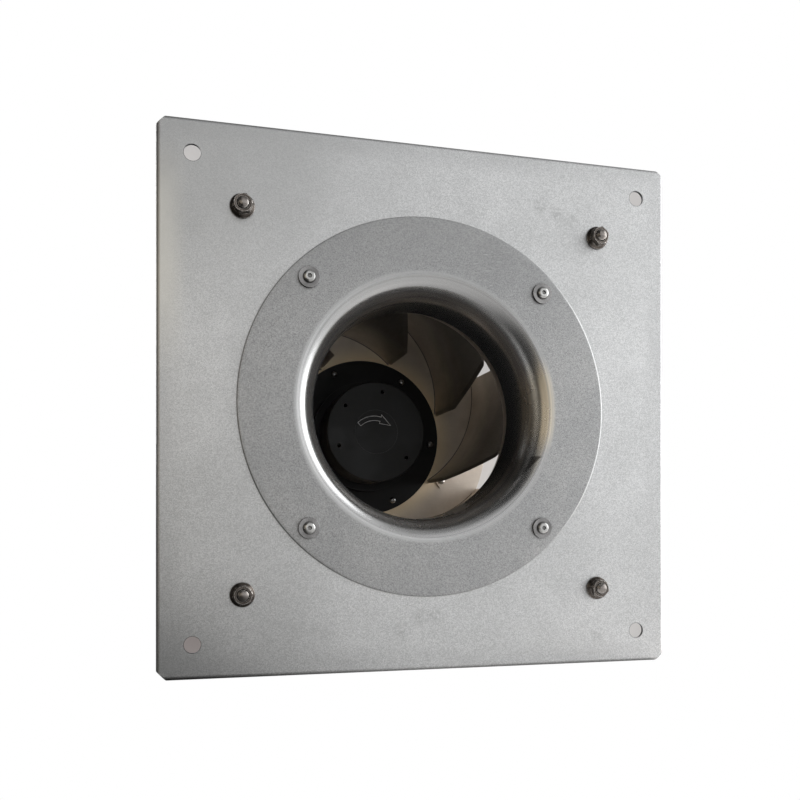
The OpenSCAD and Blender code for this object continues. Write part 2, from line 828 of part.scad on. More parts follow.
// Curved strip about the blade's centre, from share a to share b of its arc
module blade_strip(a, b, r0, r1, z0, z1)
    translate(arc_c) rotate([0, 0, arc_a - b * arc_span])
        rotate_extrude(angle = (b - a) * arc_span, $fn = 240) translate([r0, z0]) square([r1 - r0, z1 - z0]);

module blade(i)
    color(impeller_metal) upright() rotate([0, 0, first_blade - i * 360 / blade_count]) difference() {
        union() {
            intersection() {
                blade_strip(-0.15, 1.1, blade_arc_r - blade_t / 2, blade_out_r, lead_z, back_z);
                blade_space();
            }
            for (s = foot_shares)
                blade_strip(s - foot_span / arc_span / 2, s + foot_span / arc_span / 2,
                    blade_arc_r, blade_out_r + foot_w, back_z - foot_t, back_z);
        }
        for (s = foot_shares)
            translate(arc_c) rotate([0, 0, arc_a - s * arc_span])
                translate([foot_rivet_r, 0, 0]) rod(rivet_r + slip, back_z - foot_t - over, back_z + over);
    }

mounting_plate();
inlet_ring();
inlet_ring_screws();
inlet_ring_washers();
inlet_ring_rivet_nuts();
strut_lower_right();
strut_lower_left();
strut_upper_left();
strut_upper_right();
front_flange_nuts();
rear_flange_nuts();
motor_bracket();
bracket_screws();
electronics_housing();
cover_gasket();
electronics_cover();
cover_screws();
circuit_board();
board_screws();
cable_gland();
gland_nut();
gland_seal();
bearing_tube();
stator_core();
stator_windings();
preload_spring();
front_bearing_outer_ring();
front_bearing_balls();
front_bearing_cage();
front_bearing_inner_ring();
rear_bearing_outer_ring();
rear_bearing_balls();
rear_bearing_cage();
rear_bearing_inner_ring();
rotor_cup();
rotor_magnets();
rotor_shaft();
shaft_circlip();
hub_ring();
hub_rivets();
impeller_backplate();
impeller_shroud();
blade_rivets();
for (i = [0 : blade_count - 1]) blade(i);
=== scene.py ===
import json
import math
from collections import namedtuple
from functools import wraps

import bmesh
import bpy
from bpy.props import FloatProperty, FloatVectorProperty, IntProperty, PointerProperty
from mathutils import Matrix, Vector

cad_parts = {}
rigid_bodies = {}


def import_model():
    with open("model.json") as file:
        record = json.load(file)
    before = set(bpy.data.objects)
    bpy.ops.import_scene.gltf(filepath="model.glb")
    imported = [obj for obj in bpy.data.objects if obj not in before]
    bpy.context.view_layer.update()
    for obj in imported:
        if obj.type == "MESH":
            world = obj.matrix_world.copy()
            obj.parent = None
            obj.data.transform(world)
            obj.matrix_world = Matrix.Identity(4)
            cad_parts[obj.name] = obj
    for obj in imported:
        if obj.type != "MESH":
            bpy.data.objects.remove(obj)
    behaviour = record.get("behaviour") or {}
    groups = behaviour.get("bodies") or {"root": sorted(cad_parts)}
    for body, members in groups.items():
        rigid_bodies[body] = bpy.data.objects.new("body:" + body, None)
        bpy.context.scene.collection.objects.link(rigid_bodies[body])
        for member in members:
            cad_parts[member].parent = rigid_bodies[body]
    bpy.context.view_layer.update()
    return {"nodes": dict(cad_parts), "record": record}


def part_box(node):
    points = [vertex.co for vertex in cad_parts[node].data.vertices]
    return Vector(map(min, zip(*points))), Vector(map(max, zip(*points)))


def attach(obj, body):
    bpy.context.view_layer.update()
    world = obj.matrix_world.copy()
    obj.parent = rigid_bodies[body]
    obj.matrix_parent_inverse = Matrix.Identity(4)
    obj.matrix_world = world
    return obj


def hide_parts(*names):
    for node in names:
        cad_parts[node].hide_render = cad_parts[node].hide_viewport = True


for leftover in list(bpy.data.objects):
    bpy.data.objects.remove(leftover)
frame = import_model()

bl_info = {
    "name": "Plug fan",
    "version": (1, 0, 0),
    "blender": (4, 5, 0),
    "location": "View3D > Sidebar > Plug fan",
    "description": "Finishes and small parts of a plug fan on a square mounting plate",
    "category": "Object",
}

MM = 0.001
RIGHT_ANGLE = math.radians(90)
DIAGONAL = math.radians(45)

# Corner holes of the plate
plate_bolts = frame["record"]["mounts"][0]["dims"]
HOLE_PLACE = plate_bolts["spacing_x_mm"] * MM / 2
HOLE_RADIUS = plate_bolts["hole_r_mm"] * MM

# Centres of the faint finger marks on the plate's face, as X and Z
FINGER_MARKS = [(0.1186, 0.1512), (0.0912, 0.1622), (0.1060, 0.1560), (0.0049, -0.1583),
                (-0.0211, -0.1705), (-0.0080, -0.1600), (0.1404, -0.1778)]

# Ring screws and their washers
SCREW_HEAD = 4.7 * MM
SCREW_SHANK = 2.5 * MM
WASHER_RADIUS = 8 * MM
WASHER_BORE = 2.65 * MM
WASHER_EDGE = 0.25 * MM
FINE_EDGE = 0.2 * MM

# Flange nuts, studs and strut bars
NUT_FLANGE = 8.95 * MM
NUT_BORE = 4.05 * MM
STUD_RADIUS = 4 * MM
BAR_RADIUS = 5 * MM
BAR_EDGE = 0.8 * MM
BAR_BEND = 22 * MM
BAR_START = 2 * MM
BRACKET_LAP = 18 * MM

# Seams and rivets of the impeller
SEAM_OFFSET = 1.2 * MM
SEAM_UNEVENNESS = 0.35 * MM
SEAM_SHARE = 0.97
BLADE_RIVET_SHANK = 1.75 * MM
BLADE_RIVET_HEAD = 3.6 * MM
BLADE_RIVET_OFFSET = 7.5 * MM
HUB_RIVET_SHANK = 2 * MM
HUB_RIVET_HEAD = 3.4 * MM
HUB_RIVET_CIRCLE = 71 * MM
HUB_RIVET_FIRST = math.radians(-64.4)
HUB_RIVET_COUNT = 6
FRONT_DOME = 0.6  # rise as a share of the head's radius
REAR_DOME = 0.5  # rise as a share of the head's radius
DOME_TIP = 0.1 * MM

# Screws of the housing
HousingScrew = namedtuple("HousingScrew", "node piece head shank key_flats count circle first slot")
COVER_SCREW = HousingScrew("cover_screws", "cover_screw_heads", 3.5 * MM, 2 * MM, 3 * MM,
                           6, 56 * MM, 0.0, "bright_screws")
BRACKET_SCREW = HousingScrew("bracket_screws", "bracket_screw_heads", 5 * MM, 3 * MM, 5 * MM,
                             4, 77 * MM, math.radians(22.5), "bolt_steel")


# Property helpers

def length(name, description, millimetres):
    """Length that a user may change."""
    return FloatProperty(name=name, description=description, default=millimetres * MM, unit="LENGTH",
                         precision=5)


def turn(name, description, degrees):
    """Angle that a user may change."""
    return FloatProperty(name=name, description=description, default=math.radians(degrees), subtype="ANGLE")


def colour(name, description, red, green, blue):
    """Colour that a user may change."""
    return FloatVectorProperty(name=name, description=description, default=(red, green, blue), size=3,
                               min=0, max=1, subtype="COLOR")


def share(name, description, value):
    """Share between none and all."""
    return FloatProperty(name=name, description=description, default=value, min=0, max=1, subtype="FACTOR")


def power(name, description, watts):
    """Power of a light."""
    return FloatProperty(name=name, description=description, default=watts, unit="POWER")


def number(name, description, value):
    """Plain number that a user may change."""
    return FloatProperty(name=name, description=description, default=value)


class SheetLook(bpy.types.PropertyGroup):
    """Zinc finish of the mounting plate and the inlet ring"""
    plate_pale: colour("Plate, pale", "Pale tone of the galvanised plate", 0.715, 0.71, 0.705)
    plate_dark: colour("Plate, dark", "Dark tone of the galvanised plate", 0.54, 0.54, 0.535)
    ring_pale: colour("Ring, pale", "Pale tone of the inlet ring", 0.475, 0.47, 0.463)
    ring_dark: colour("Ring, dark", "Dark tone of the inlet ring", 0.36, 0.36, 0.36)
    crystal: length("Zinc grain", "Size of the grains in the zinc", 0.8)
    cloud: length("Clouds", "Size of the cloudy patches in the zinc", 85)
    sparkle: share("Sparkle", "Difference in tone between the zinc grains", 0.25)
    scratches: share("Scratches", "Strength of the handling marks", 0.5)


class RingShape(bpy.types.PropertyGroup):
    """Section of the spun inlet ring"""
    sheet: length("Sheet", "Thickness of the ring's sheet", 1.5)
    throat: length("Throat radius", "Inner radius of the straight throat", 85)
    lip: length("Lip radius", "Radius of the lip where the curve leaves the flange", 14)
    sweep: length("Sweep radius", "Radius of the sweep that runs into the throat", 40)
    lip_turn: turn("Lip turn", "Turn of the lip before the sweep takes over", 55)
    edge: length("Edge rounding", "Rounding of the ring's cut edges", 0.6)


class FastenerShape(bpy.types.PropertyGroup):
    """Screws, washers, nuts and studs"""
    key_flats: length("Socket", "Width across the flats of the ring screws' sockets", 3)
    nut_flats: length("Nut", "Width across the flats of the flange nuts", 13)
    pitch: length("Thread pitch", "Pitch of the stud threads", 1.25)
    thread_depth: length("Thread depth", "Depth of the stud threads", 0.7)
    chamfer: length("Stud chamfer", "Chamfer on the tips of the studs", 1.2)
    steel: colour("Stainless", "Bright steel of the ring's screws", 0.66, 0.65, 0.63)
    washer: colour("Washer", "Duller steel of the ring's washers", 0.34, 0.33, 0.325)
    bronze: colour("Bronze", "Brown passivated steel of the nuts", 0.15, 0.128, 0.112)
    bronze_worn: colour("Bronze, worn", "Worn edges of the nuts", 0.85, 0.80, 0.75)
    stud: colour("Stud", "Steel of the threaded studs", 0.37, 0.335, 0.31)


class ImpellerLook(bpy.types.PropertyGroup):
    """Sheet of the impeller, its blade seams and rivets"""
    pale: colour("Sheet, pale", "Pale tone of the impeller's sheet", 0.60, 0.54, 0.475)
    dark: colour("Sheet, dark", "Dark tone of the impeller's sheet", 0.44, 0.39, 0.335)
    # Painted warm glow round the hub
    glow_tint: colour("Painted glow", "Painted warm glow on the sheet round the hub", 0.88, 0.72, 0.48)
    # Painted shade on the blades towards the shroud
    depth_shade: colour("Painted shade", "Painted shade on the blades towards the shroud", 0.045, 0.041, 0.040)
    blade_count: IntProperty(name="Blades", description="Number of blades", default=7, min=3, max=15)
    first_blade: turn("First blade", "Angle of the first blade's root, seen from the inlet", 18.9)
    root: length("Root radius", "Radius on which the blades start", 82)
    arc: length("Blade curve", "Radius of the blades' curve", 106)
    wrap: turn("Wrap", "Angle over which a blade sweeps back", 60)
    seam: length("Seam", "Radius of the bead along each blade's foot", 0.55)


class MotorLook(bpy.types.PropertyGroup):
    """Black coat of the rotor and its direction arrow"""
    coat: colour("Black coat", "Colour of the rotor's black coat", 0.009, 0.009, 0.0095)
    hub: colour("Hub coat", "Colour of the hub ring's black coat", 0.004, 0.004, 0.0045)
    arrow: colour("Arrow", "Colour of the direction arrow", 0.62, 0.62, 0.62)
    arrow_radius: length("Arrow radius", "Radius of the arrow's curved middle line", 21.7)
    arrow_width: length("Arrow width", "Width of the arrow's shaft", 4.3)
    arrow_line: length("Arrow line", "Width of the arrow's outline", 0.55)


class StageLook(bpy.types.PropertyGroup):
    """Camera, floor and lights"""
    camera: FloatVectorProperty(name="Camera", description="Place of the camera", size=3,
                                default=(-0.186, -0.634, -0.0904), subtype="TRANSLATION")
    pan: turn("Pan", "Turn of the camera towards the fan", -14.45)
    lens: number("Lens", "Focal length in millimetres", 39.06)
    sensor: number("Sensor", "Width of the picture on the sensor in millimetres", 36)
    shift: number("Shift", "Upward shift of the lens", 0.1574)
    key: power("Key light", "Power of the large light on the right", 18)
    warm: power("Warm light", "Power of the warm light on the left", 1.4)
    top: power("Top light", "Power of the light overhead", 1)
    rear: power("Rear lights", "Power of each light behind the fan", 14)
    outlet: power("Outlet light", "Power of the small light beside the impeller's outlet", 2.4)
    room_dark: number("Room, left", "Brightness of the room on the left", 0.08)
    room_front: number("Room, front", "Brightness of the room in front", 0.92)
    room_right: number("Room, right", "Brightness of the room on the right", 1.5)


# Mesh helpers

Section = namedtuple("Section", "along radius flats floor", defaults=(None, 0))


def section_radius(section, angle):
    """Radius of a round section, or of a hexagon kept between a floor and a cap."""
    if section.flats is None:
        return section.radius
    off_flat = (angle + math.pi / 6) % (math.pi / 3) - math.pi / 6
    return max(section.floor, min(section.radius, section.flats / 2 / math.cos(off_flat)))


def finished_piece(mesh, name, sharp=32):
    """Object of a bmesh, smooth except at its sharp edges."""
    data = bpy.data.meshes.new(name)
    mesh.to_mesh(data)
    mesh.free()
    data.shade_smooth()
    data.set_sharp_from_angle(angle=math.radians(sharp))
    piece = bpy.data.objects.new(name, data)
    bpy.context.scene.collection.objects.link(piece)
    return piece


def bridge_rows(mesh, rows, closed):
    """Faces between rows of vertices, each row a ring, and from the last row to the first if closed."""
    pairs = list(zip(rows, rows[1:]))
    if closed:
        pairs.append((rows[-1], rows[0]))
    for low, high in pairs:
        for i in range(len(low)):
            j = (i + 1) % len(low)
            mesh.faces.new((low[i], low[j], high[j], high[i]))
    if not closed:
        mesh.faces.new(rows[0])
        mesh.faces.new(rows[-1])
    bmesh.ops.recalc_face_normals(mesh, faces=mesh.faces)


def turned_piece(name, sections, steps, closed=False, sharp=32):
    """Piece of sections turned about the fan's axis direction, capped at its ends or closed into a loop."""
    mesh = bmesh.new()
    rows = []
    for section in sections:
        row = []
        for i in range(steps):
            angle = 2 * math.pi * i / steps
            radius = section_radius(section, angle)
            row.append(mesh.verts.new((radius * math.cos(angle), section.along, radius * math.sin(angle))))
        rows.append(row)
    bridge_rows(mesh, rows, closed)
    return finished_piece(mesh, name, sharp)


def swept_piece(name, path, radii, steps):
    """Round bar along a path in the plane of the fan's axis, given as points in radius and depth."""
    mesh = bmesh.new()
    rows = []
    for i, (point, radius) in enumerate(zip(path, radii)):
        ahead = Vector(path[min(i + 1, len(path) - 1)]) - Vector(path[max(i - 1, 0)])
        ahead.normalize()
        row = []
        for k in range(steps):
            angle = 2 * math.pi * k / steps
            across = radius * math.cos(angle)
            row.append(mesh.verts.new((point[0] - ahead.y * across, point[1] + ahead.x * across,
                                       radius * math.sin(angle))))
        rows.append(row)
    bridge_rows(mesh, rows, False)
    return finished_piece(mesh, name)


def arc_points(centre, radius, start, end, count):
    """Points on an arc, angles in radians."""
    points = []
    for i in range(count + 1):
        angle = start + (end - start) * i / count
        points.append((centre[0] + radius * math.cos(angle), centre[1] + radius * math.sin(angle)))
    return points


def shifted(piece, offset):
    """Piece with its mesh moved."""
    piece.data.transform(Matrix.Translation(offset))
    return piece


def pattern_radius(node, reach):
    """Radius of four places on the diagonals, from a node's box and the reach of one copy."""
    return (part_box(node)[1].x - reach) * math.sqrt(2)


# Outlines of the fasteners, as sections along the fan's axis

def button_head(head, seat, top, end, shank, key_flats):
    """Domed screw from its socket's floor to its tip."""
    rim = 0.6 * MM
    dome = seat - top - rim
    floor = top + dome * 0.75
    dome_steps = 6
    sections = [
        Section(floor + FINE_EDGE, FINE_EDGE),
        Section(floor, key_flats, key_flats),
        Section(top + FINE_EDGE, key_flats, key_flats),
        Section(top, key_flats, key_flats + FINE_EDGE),
    ]
    for i in range(dome_steps + 1):
        angle = RIGHT_ANGLE * i / dome_steps
        sections.append(Section(top + dome * (1 - math.cos(angle)), head - dome + dome * math.sin(angle)))
    return sections + [
        Section(seat - FINE_EDGE, head),
        Section(seat, head - FINE_EDGE),
        Section(seat, shank),
        Section(end - FINE_EDGE, shank),
        Section(end, shank - FINE_EDGE),
    ]


def socket_head(head, seat, top, end, shank, key_flats):
    """Cap screw from its socket's floor to its tip."""
    rim = 0.7 * MM if seat > top else -0.7 * MM
    fine = rim / 3
    floor = top + (seat - top) * 0.55
    return [
        Section(floor + fine, FINE_EDGE),
        Section(floor, key_flats, key_flats),
        Section(top + fine, key_flats, key_flats),
        Section(top, key_flats, key_flats + abs(rim)),
        Section(top, head - abs(rim)),
        Section(top + rim * 0.3, head - abs(rim) * 0.3),
        Section(top + rim, head),
        Section(seat - fine, head),
        Section(seat, head - abs(fine)),
        Section(seat, shank),
        Section(end - fine, shank),
        Section(end, shank - abs(fine)),
    ]


def washer_disc(under, top):
    """Washer with softened rims, from its bore round to its bore."""
    return [
        Section(under, WASHER_BORE),
        Section(under, WASHER_RADIUS - WASHER_EDGE),
        Section(under - WASHER_EDGE, WASHER_RADIUS),
        Section(top + WASHER_EDGE, WASHER_RADIUS),
        Section(top, WASHER_RADIUS - WASHER_EDGE),
        Section(top, WASHER_BORE + WASHER_EDGE),
        Section(top + WASHER_EDGE, WASHER_BORE),
    ]


def flange_nut(flats, seat, top):
    """Flange nut from its seat to its top and back through its bore, its levels as shares of its height."""
    rise = top - seat
    corner = flats / math.sqrt(3)
    return [
        Section(seat, NUT_BORE),
        Section(seat, NUT_FLANGE - 0.3 * MM),
        Section(seat + rise * 0.03, NUT_FLANGE),
        Section(seat + rise * 0.13, NUT_FLANGE),
        Section(seat + rise * 0.17, NUT_FLANGE - 0.35 * MM),
        Section(seat + rise * 0.28, NUT_FLANGE - 1.0 * MM),
        Section(seat + rise * 0.33, NUT_FLANGE, flats, corner - 0.1 * MM),
        Section(seat + rise * 0.40, NUT_FLANGE, flats, flats / 2 + 0.2 * MM),
        Section(seat + rise * 0.46, NUT_FLANGE, flats),
        Section(seat + rise * 0.87, NUT_FLANGE, flats),
        Section(seat + rise * 0.93, flats / 2 + 0.62 * MM, flats),
        Section(seat + rise, flats / 2 - 0.15 * MM, flats),
        Section(seat + rise, NUT_BORE + 0.6 * MM),
        Section(seat + rise * 0.94, NUT_BORE),
    ]


def domed_rivet(node, shank, head):
    """Rivet with a dome at each end, as long as a node's box is deep."""
    low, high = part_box(node)
    front_rise = FRONT_DOME * head
    rear_rise = REAR_DOME * head
    front = low.y + front_rise
    rear = high.y - rear_rise
    steps = 6
    angles = [RIGHT_ANGLE * i / steps for i in range(steps + 1)]
    sections = []
    for angle in angles:
        sections.append(Section(front - front_rise * math.cos(angle), max(DOME_TIP, head * math.sin(angle))))
    sections += [Section(front, shank), Section(rear, shank)]
    for angle in reversed(angles):
        sections.append(Section(rear + rear_rise * math.cos(angle), max(DOME_TIP, head * math.sin(angle))))
    return sections


# Node helpers

def add_node(tree, kind, inputs=None, **settings):
    """New node with its settings, and its inputs linked or set."""
    made = tree.nodes.new(kind)
    for name, value in settings.items():
        setattr(made, name, value)
    for key, value in (inputs or {}).items():
        if isinstance(value, bpy.types.NodeSocket):
            tree.links.new(value, made.inputs[key])
        else:
            made.inputs[key].default_value = value
    return made


def calc(tree, operation, *values):
    """Result of a math node."""
    return add_node(tree, "ShaderNodeMath", dict(enumerate(values)), operation=operation).outputs[0]


def times(tree, first, *others):
    """Product of two or more values."""
    product = first
    for value in others:
        product = calc(tree, "MULTIPLY", product, value)
    return product


def vector_math(tree, operation, *values):
    """Vector math node with its vectors linked or set."""
    return add_node(tree, "ShaderNodeVectorMath", dict(enumerate(values)), operation=operation)


def scaled(tree, vector, size):
    """Vector times a value."""
    return add_node(tree, "ShaderNodeVectorMath", {0: vector, "Scale": size}, operation="SCALE").outputs[0]


def axes_of(tree, vector):
    """Components of a vector."""
    return list(add_node(tree, "ShaderNodeSeparateXYZ", {0: vector}).outputs)


def face_axes(tree):
    """Components of the direction that a face looks in."""
    return axes_of(tree, tree.nodes.new("ShaderNodeNewGeometry").outputs["True Normal"])


def spread(tree, value, low, high, to_low=0.0, to_high=1.0):
    """Value between low and high, eased onto another range."""
    limits = {"Value": value, "From Min": low, "From Max": high, "To Min": to_low, "To Max": to_high}
    return add_node(tree, "ShaderNodeMapRange", limits, interpolation_type="SMOOTHSTEP").outputs["Result"]


def mixed(tree, factor, a, b, blend="MIX"):
    """Mix of two colours."""
    inputs = {0: factor, 6: a, 7: b}
    return add_node(tree, "ShaderNodeMix", inputs, data_type="RGBA", blend_type=blend).outputs[2]


def washed(tree, under, mask, strength, tint):
    """Colour under a film of another, as thick as a mask and a strength say."""
    return mixed(tree, times(tree, mask, strength), under, rgba(tint))


def noise(tree, vector, scale, detail=3.0, roughness=0.55):
    """Value of a noise."""
    inputs = {"Vector": vector, "Scale": scale, "Detail": detail, "Roughness": roughness}
    return add_node(tree, "ShaderNodeTexNoise", inputs).outputs[0]


def stretched(tree, vector, turn_about_axis, scale):
    """Coordinates turned about the fan's axis and stretched."""
    inputs = {"Vector": vector, "Rotation": (0, turn_about_axis, 0), "Scale": scale}
    return add_node(tree, "ShaderNodeMapping", inputs).outputs[0]


def near_point(tree, place, centre, inner, outer):
    """Mask that fades from one inside a radius to none outside another."""
    return spread(tree, vector_math(tree, "DISTANCE", place, centre).outputs["Value"], outer, inner)


def rgba(values):
    """Opaque colour of three values."""
    return (values[0], values[1], values[2], 1.0)


def dimmed(values, level):
    """Colour of three values, each times a level."""
    return [value * level for value in values]


def new_group(name, inputs, outputs, kind="ShaderNodeTree"):
    """Node group with named sockets, and its group input and output nodes."""
    tree = bpy.data.node_groups.new(name, kind)
    for label, socket in inputs:
        tree.interface.new_socket(label, in_out="INPUT", socket_type=socket)
    for label, socket in outputs:
        tree.interface.new_socket(label, in_out="OUTPUT", socket_type=socket)
    return tree, tree.nodes.new("NodeGroupInput").outputs, tree.nodes.new("NodeGroupOutput").inputs


def named_group(name):
    """Let a function make its group once and find it by its name after that."""
    def wrap(build):
        @wraps(build)
        def find():
            return bpy.data.node_groups.get(name) or build(name)
        return find
    return wrap


FLOAT = "NodeSocketFloat"
WHOLE = "NodeSocketInt"
VECTOR = "NodeSocketVector"
GEOMETRY = "NodeSocketGeometry"
MATERIAL = "NodeSocketMaterial"


# Effects that several materials share

@named_group("Zinc bloom")
def zinc_bloom(name):
    """Clouds, grains and fine tooth of a zinc coat."""
    tree, given, out = new_group(name,
                                 [("Vector", VECTOR), ("Grain Size", FLOAT), ("Cloud Size", FLOAT)],
                                 [("Clouds", FLOAT), ("Grains", FLOAT), ("Tooth", FLOAT)])
    place = given["Vector"]
    per_cloud = calc(tree, "DIVIDE", 1.0, given["Cloud Size"])
    per_grain = calc(tree, "DIVIDE", 1.0, given["Grain Size"])
    tree.links.new(spread(tree, noise(tree, place, per_cloud, 6.0, 0.62), 0.34, 0.68), out["Clouds"])
    warp = add_node(tree, "ShaderNodeTexNoise", {"Vector": place, "Scale": per_grain, "Detail": 2.0})
    shift = vector_math(tree, "SUBTRACT", warp.outputs["Color"], (0.5, 0.5, 0.5)).outputs[0]
    moved = vector_math(tree, "ADD", place, scaled(tree, shift, given["Grain Size"])).outputs[0]
    cells = add_node(tree, "ShaderNodeTexVoronoi", {"Vector": moved, "Scale": per_grain})
    tones = add_node(tree, "ShaderNodeSeparateColor", {0: cells.outputs["Color"]}).outputs[0]
    speckle = spread(tree, noise(tree, place, times(tree, per_grain, 1.3), 2.0, 0.8), 0.3, 0.7)
    tree.links.new(calc(tree, "ADD", times(tree, tones, 0.4), times(tree, speckle, 0.6)), out["Grains"])
    tree.links.new(noise(tree, place, times(tree, per_grain, 3.0), 3.0, 0.7), out["Tooth"])
    return tree


@named_group("Handling marks")
def handling_marks(name):
    """Fine scratches in two directions and soft smudges."""
    tree, given, out = new_group(name, [("Vector", VECTOR), ("Patch Size", FLOAT)],
                                 [("Scratches", FLOAT), ("Smudges", FLOAT)])
    per_patch = calc(tree, "DIVIDE", 1.0, given["Patch Size"])
    patches = spread(tree, noise(tree, given["Vector"], per_patch, 2.0), 0.52, 0.66)
    lines = []
    for angle, scale in ((0.35, (34, 34, 1300)), (-0.9, (46, 46, 1700))):
        drawn = stretched(tree, given["Vector"], angle, scale)
        lines.append(spread(tree, noise(tree, drawn, 1.0, 1.0), 0.66, 0.74))
    crossed = calc(tree, "MAXIMUM", lines[0], lines[1])
    tree.links.new(times(tree, crossed, patches), out["Scratches"])
    smudges = noise(tree, given["Vector"], times(tree, per_patch, 1.7), 6.0, 0.72)
    tree.links.new(spread(tree, smudges, 0.55, 0.75), out["Smudges"])
    return tree


@named_group("Spun lines")
def spun_lines(name):
    """Rings left by spinning or turning about the fan's axis."""
    tree, given, out = new_group(name, [("Vector", VECTOR), ("Pitch", FLOAT)],
                                 [("Lines", FLOAT), ("Radius", FLOAT)])
    x, y, z = axes_of(tree, given["Vector"])
    across = add_node(tree, "ShaderNodeCombineXYZ", {0: x, 1: z}).outputs[0]
    radius = vector_math(tree, "LENGTH", across).outputs["Value"]
    count = calc(tree, "DIVIDE", calc(tree, "MULTIPLY_ADD", y, 0.8, radius), given["Pitch"])
    lines = add_node(tree, "ShaderNodeTexNoise", {"W": count, "Scale": 1.0, "Detail": 3.0},
                     noise_dimensions="1D")
    tree.links.new(lines.outputs[0], out["Lines"])
    tree.links.new(radius, out["Radius"])
    return tree


@named_group("Moulded grain")
def moulded_grain(name):
    """Fine skin of a casting, coating or moulding."""
    tree, given, out = new_group(name, [("Vector", VECTOR), ("Grain Size", FLOAT)],
                                 [("Height", FLOAT), ("Tone", FLOAT)])
    place = given["Vector"]
    per_grain = calc(tree, "DIVIDE", 1.0, given["Grain Size"])
    skin = noise(tree, place, per_grain, 3.0, 0.6)
    pits = add_node(tree, "ShaderNodeTexVoronoi", {"Vector": place, "Scale": per_grain}).outputs["Distance"]
    tree.links.new(times(tree, skin, spread(tree, pits, 0.0, 0.45, 0.4, 1.0)), out["Height"])
    tone = noise(tree, place, calc(tree, "DIVIDE", per_grain, 40.0), 5.0, 0.65)
    tree.links.new(spread(tree, tone, 0.35, 0.65), out["Tone"])
    return tree


@named_group("Worn edges")
def worn_edges(name):
    """Mask of rubbed edges, broken up by noise."""
    tree, given, out = new_group(name, [("Vector", VECTOR), ("Width", FLOAT)],
                                 [("Edge", FLOAT)])
    rounded = add_node(tree, "ShaderNodeBevel", {"Radius": given["Width"]}, samples=4)
    flat = add_node(tree, "ShaderNodeNewGeometry")
    facing = vector_math(tree, "DOT_PRODUCT", rounded.outputs[0], flat.outputs["Normal"]).outputs["Value"]
    edge = spread(tree, facing, 0.993, 0.92)
    broken = spread(tree, noise(tree, given["Vector"], 900.0, 3.0, 0.7), 0.3, 0.6)
    tree.links.new(times(tree, edge, broken), out["Edge"])
    return tree


@named_group("Corner grime")
def corner_shade_and_grime(name):
    """Mask of painted shade and grime in corners and under edges, broken up by noise."""
    tree, given, out = new_group(name, [("Vector", VECTOR), ("Reach", FLOAT)],
                                 [("Grime", FLOAT)])
    # Ambient occlusion paints shade where corners and nearby parts would hide the light
    hollow = add_node(tree, "ShaderNodeAmbientOcclusion", {"Distance": given["Reach"]}, samples=8)
    broken = spread(tree, noise(tree, given["Vector"], 700.0, 3.0, 0.7), 0.25, 0.6, 0.55, 1.0)
    tree.links.new(times(tree, spread(tree, hollow.outputs["AO"], 0.85, 0.35), broken), out["Grime"])
    return tree


# Materials

def new_material(name, metallic, **constants):
    """Material with its tree, principled shader and object coordinates."""
    made = bpy.data.materials.new(name)
    made.use_nodes = True
    tree = made.node_tree
    shader = tree.nodes["Principled BSDF"]
    shader.inputs["Metallic"].default_value = metallic
    for key, value in constants.items():
        shader.inputs[key.replace("_", " ")].default_value = value
    place = tree.nodes.new("ShaderNodeTexCoord").outputs["Object"]
    return made, tree, shader, place


def use_group(tree, group, **inputs):
    """Outputs of a group placed in a material, with its inputs linked or set."""
    given = {key.replace("_", " "): value for key, value in inputs.items()}
    return add_node(tree, "ShaderNodeGroup", given, node_tree=group).outputs


def finish(tree, shader, skin, rough, height, strength, distance):
    """Lead a colour, a roughness and a relief to a shader."""
    relief = add_node(tree, "ShaderNodeBump", {"Height": height, "Strength": strength, "Distance": distance})
    tree.links.new(skin, shader.inputs["Base Color"])
    tree.links.new(rough, shader.inputs["Roughness"])
    tree.links.new(relief.outputs[0], shader.inputs["Normal"])


def blend_surface(tree, factor, first, second):
    """Surface of a material from two shaders."""
    blend = add_node(tree, "ShaderNodeMixShader", {0: factor, 1: first, 2: second})
    tree.links.new(blend.outputs[0], tree.nodes["Material Output"].inputs["Surface"])


def grained(tree, sheet, grains, sparkle):
    """Colour lightened and darkened from grain to grain."""
    level = spread(tree, grains, 0.0, 1.0, 1.0 - sparkle, 1.0 + sparkle)
    grey = add_node(tree, "ShaderNodeCombineColor", {0: level, 1: level, 2: level}).outputs[0]
    return mixed(tree, 1.0, sheet, grey, "MULTIPLY")


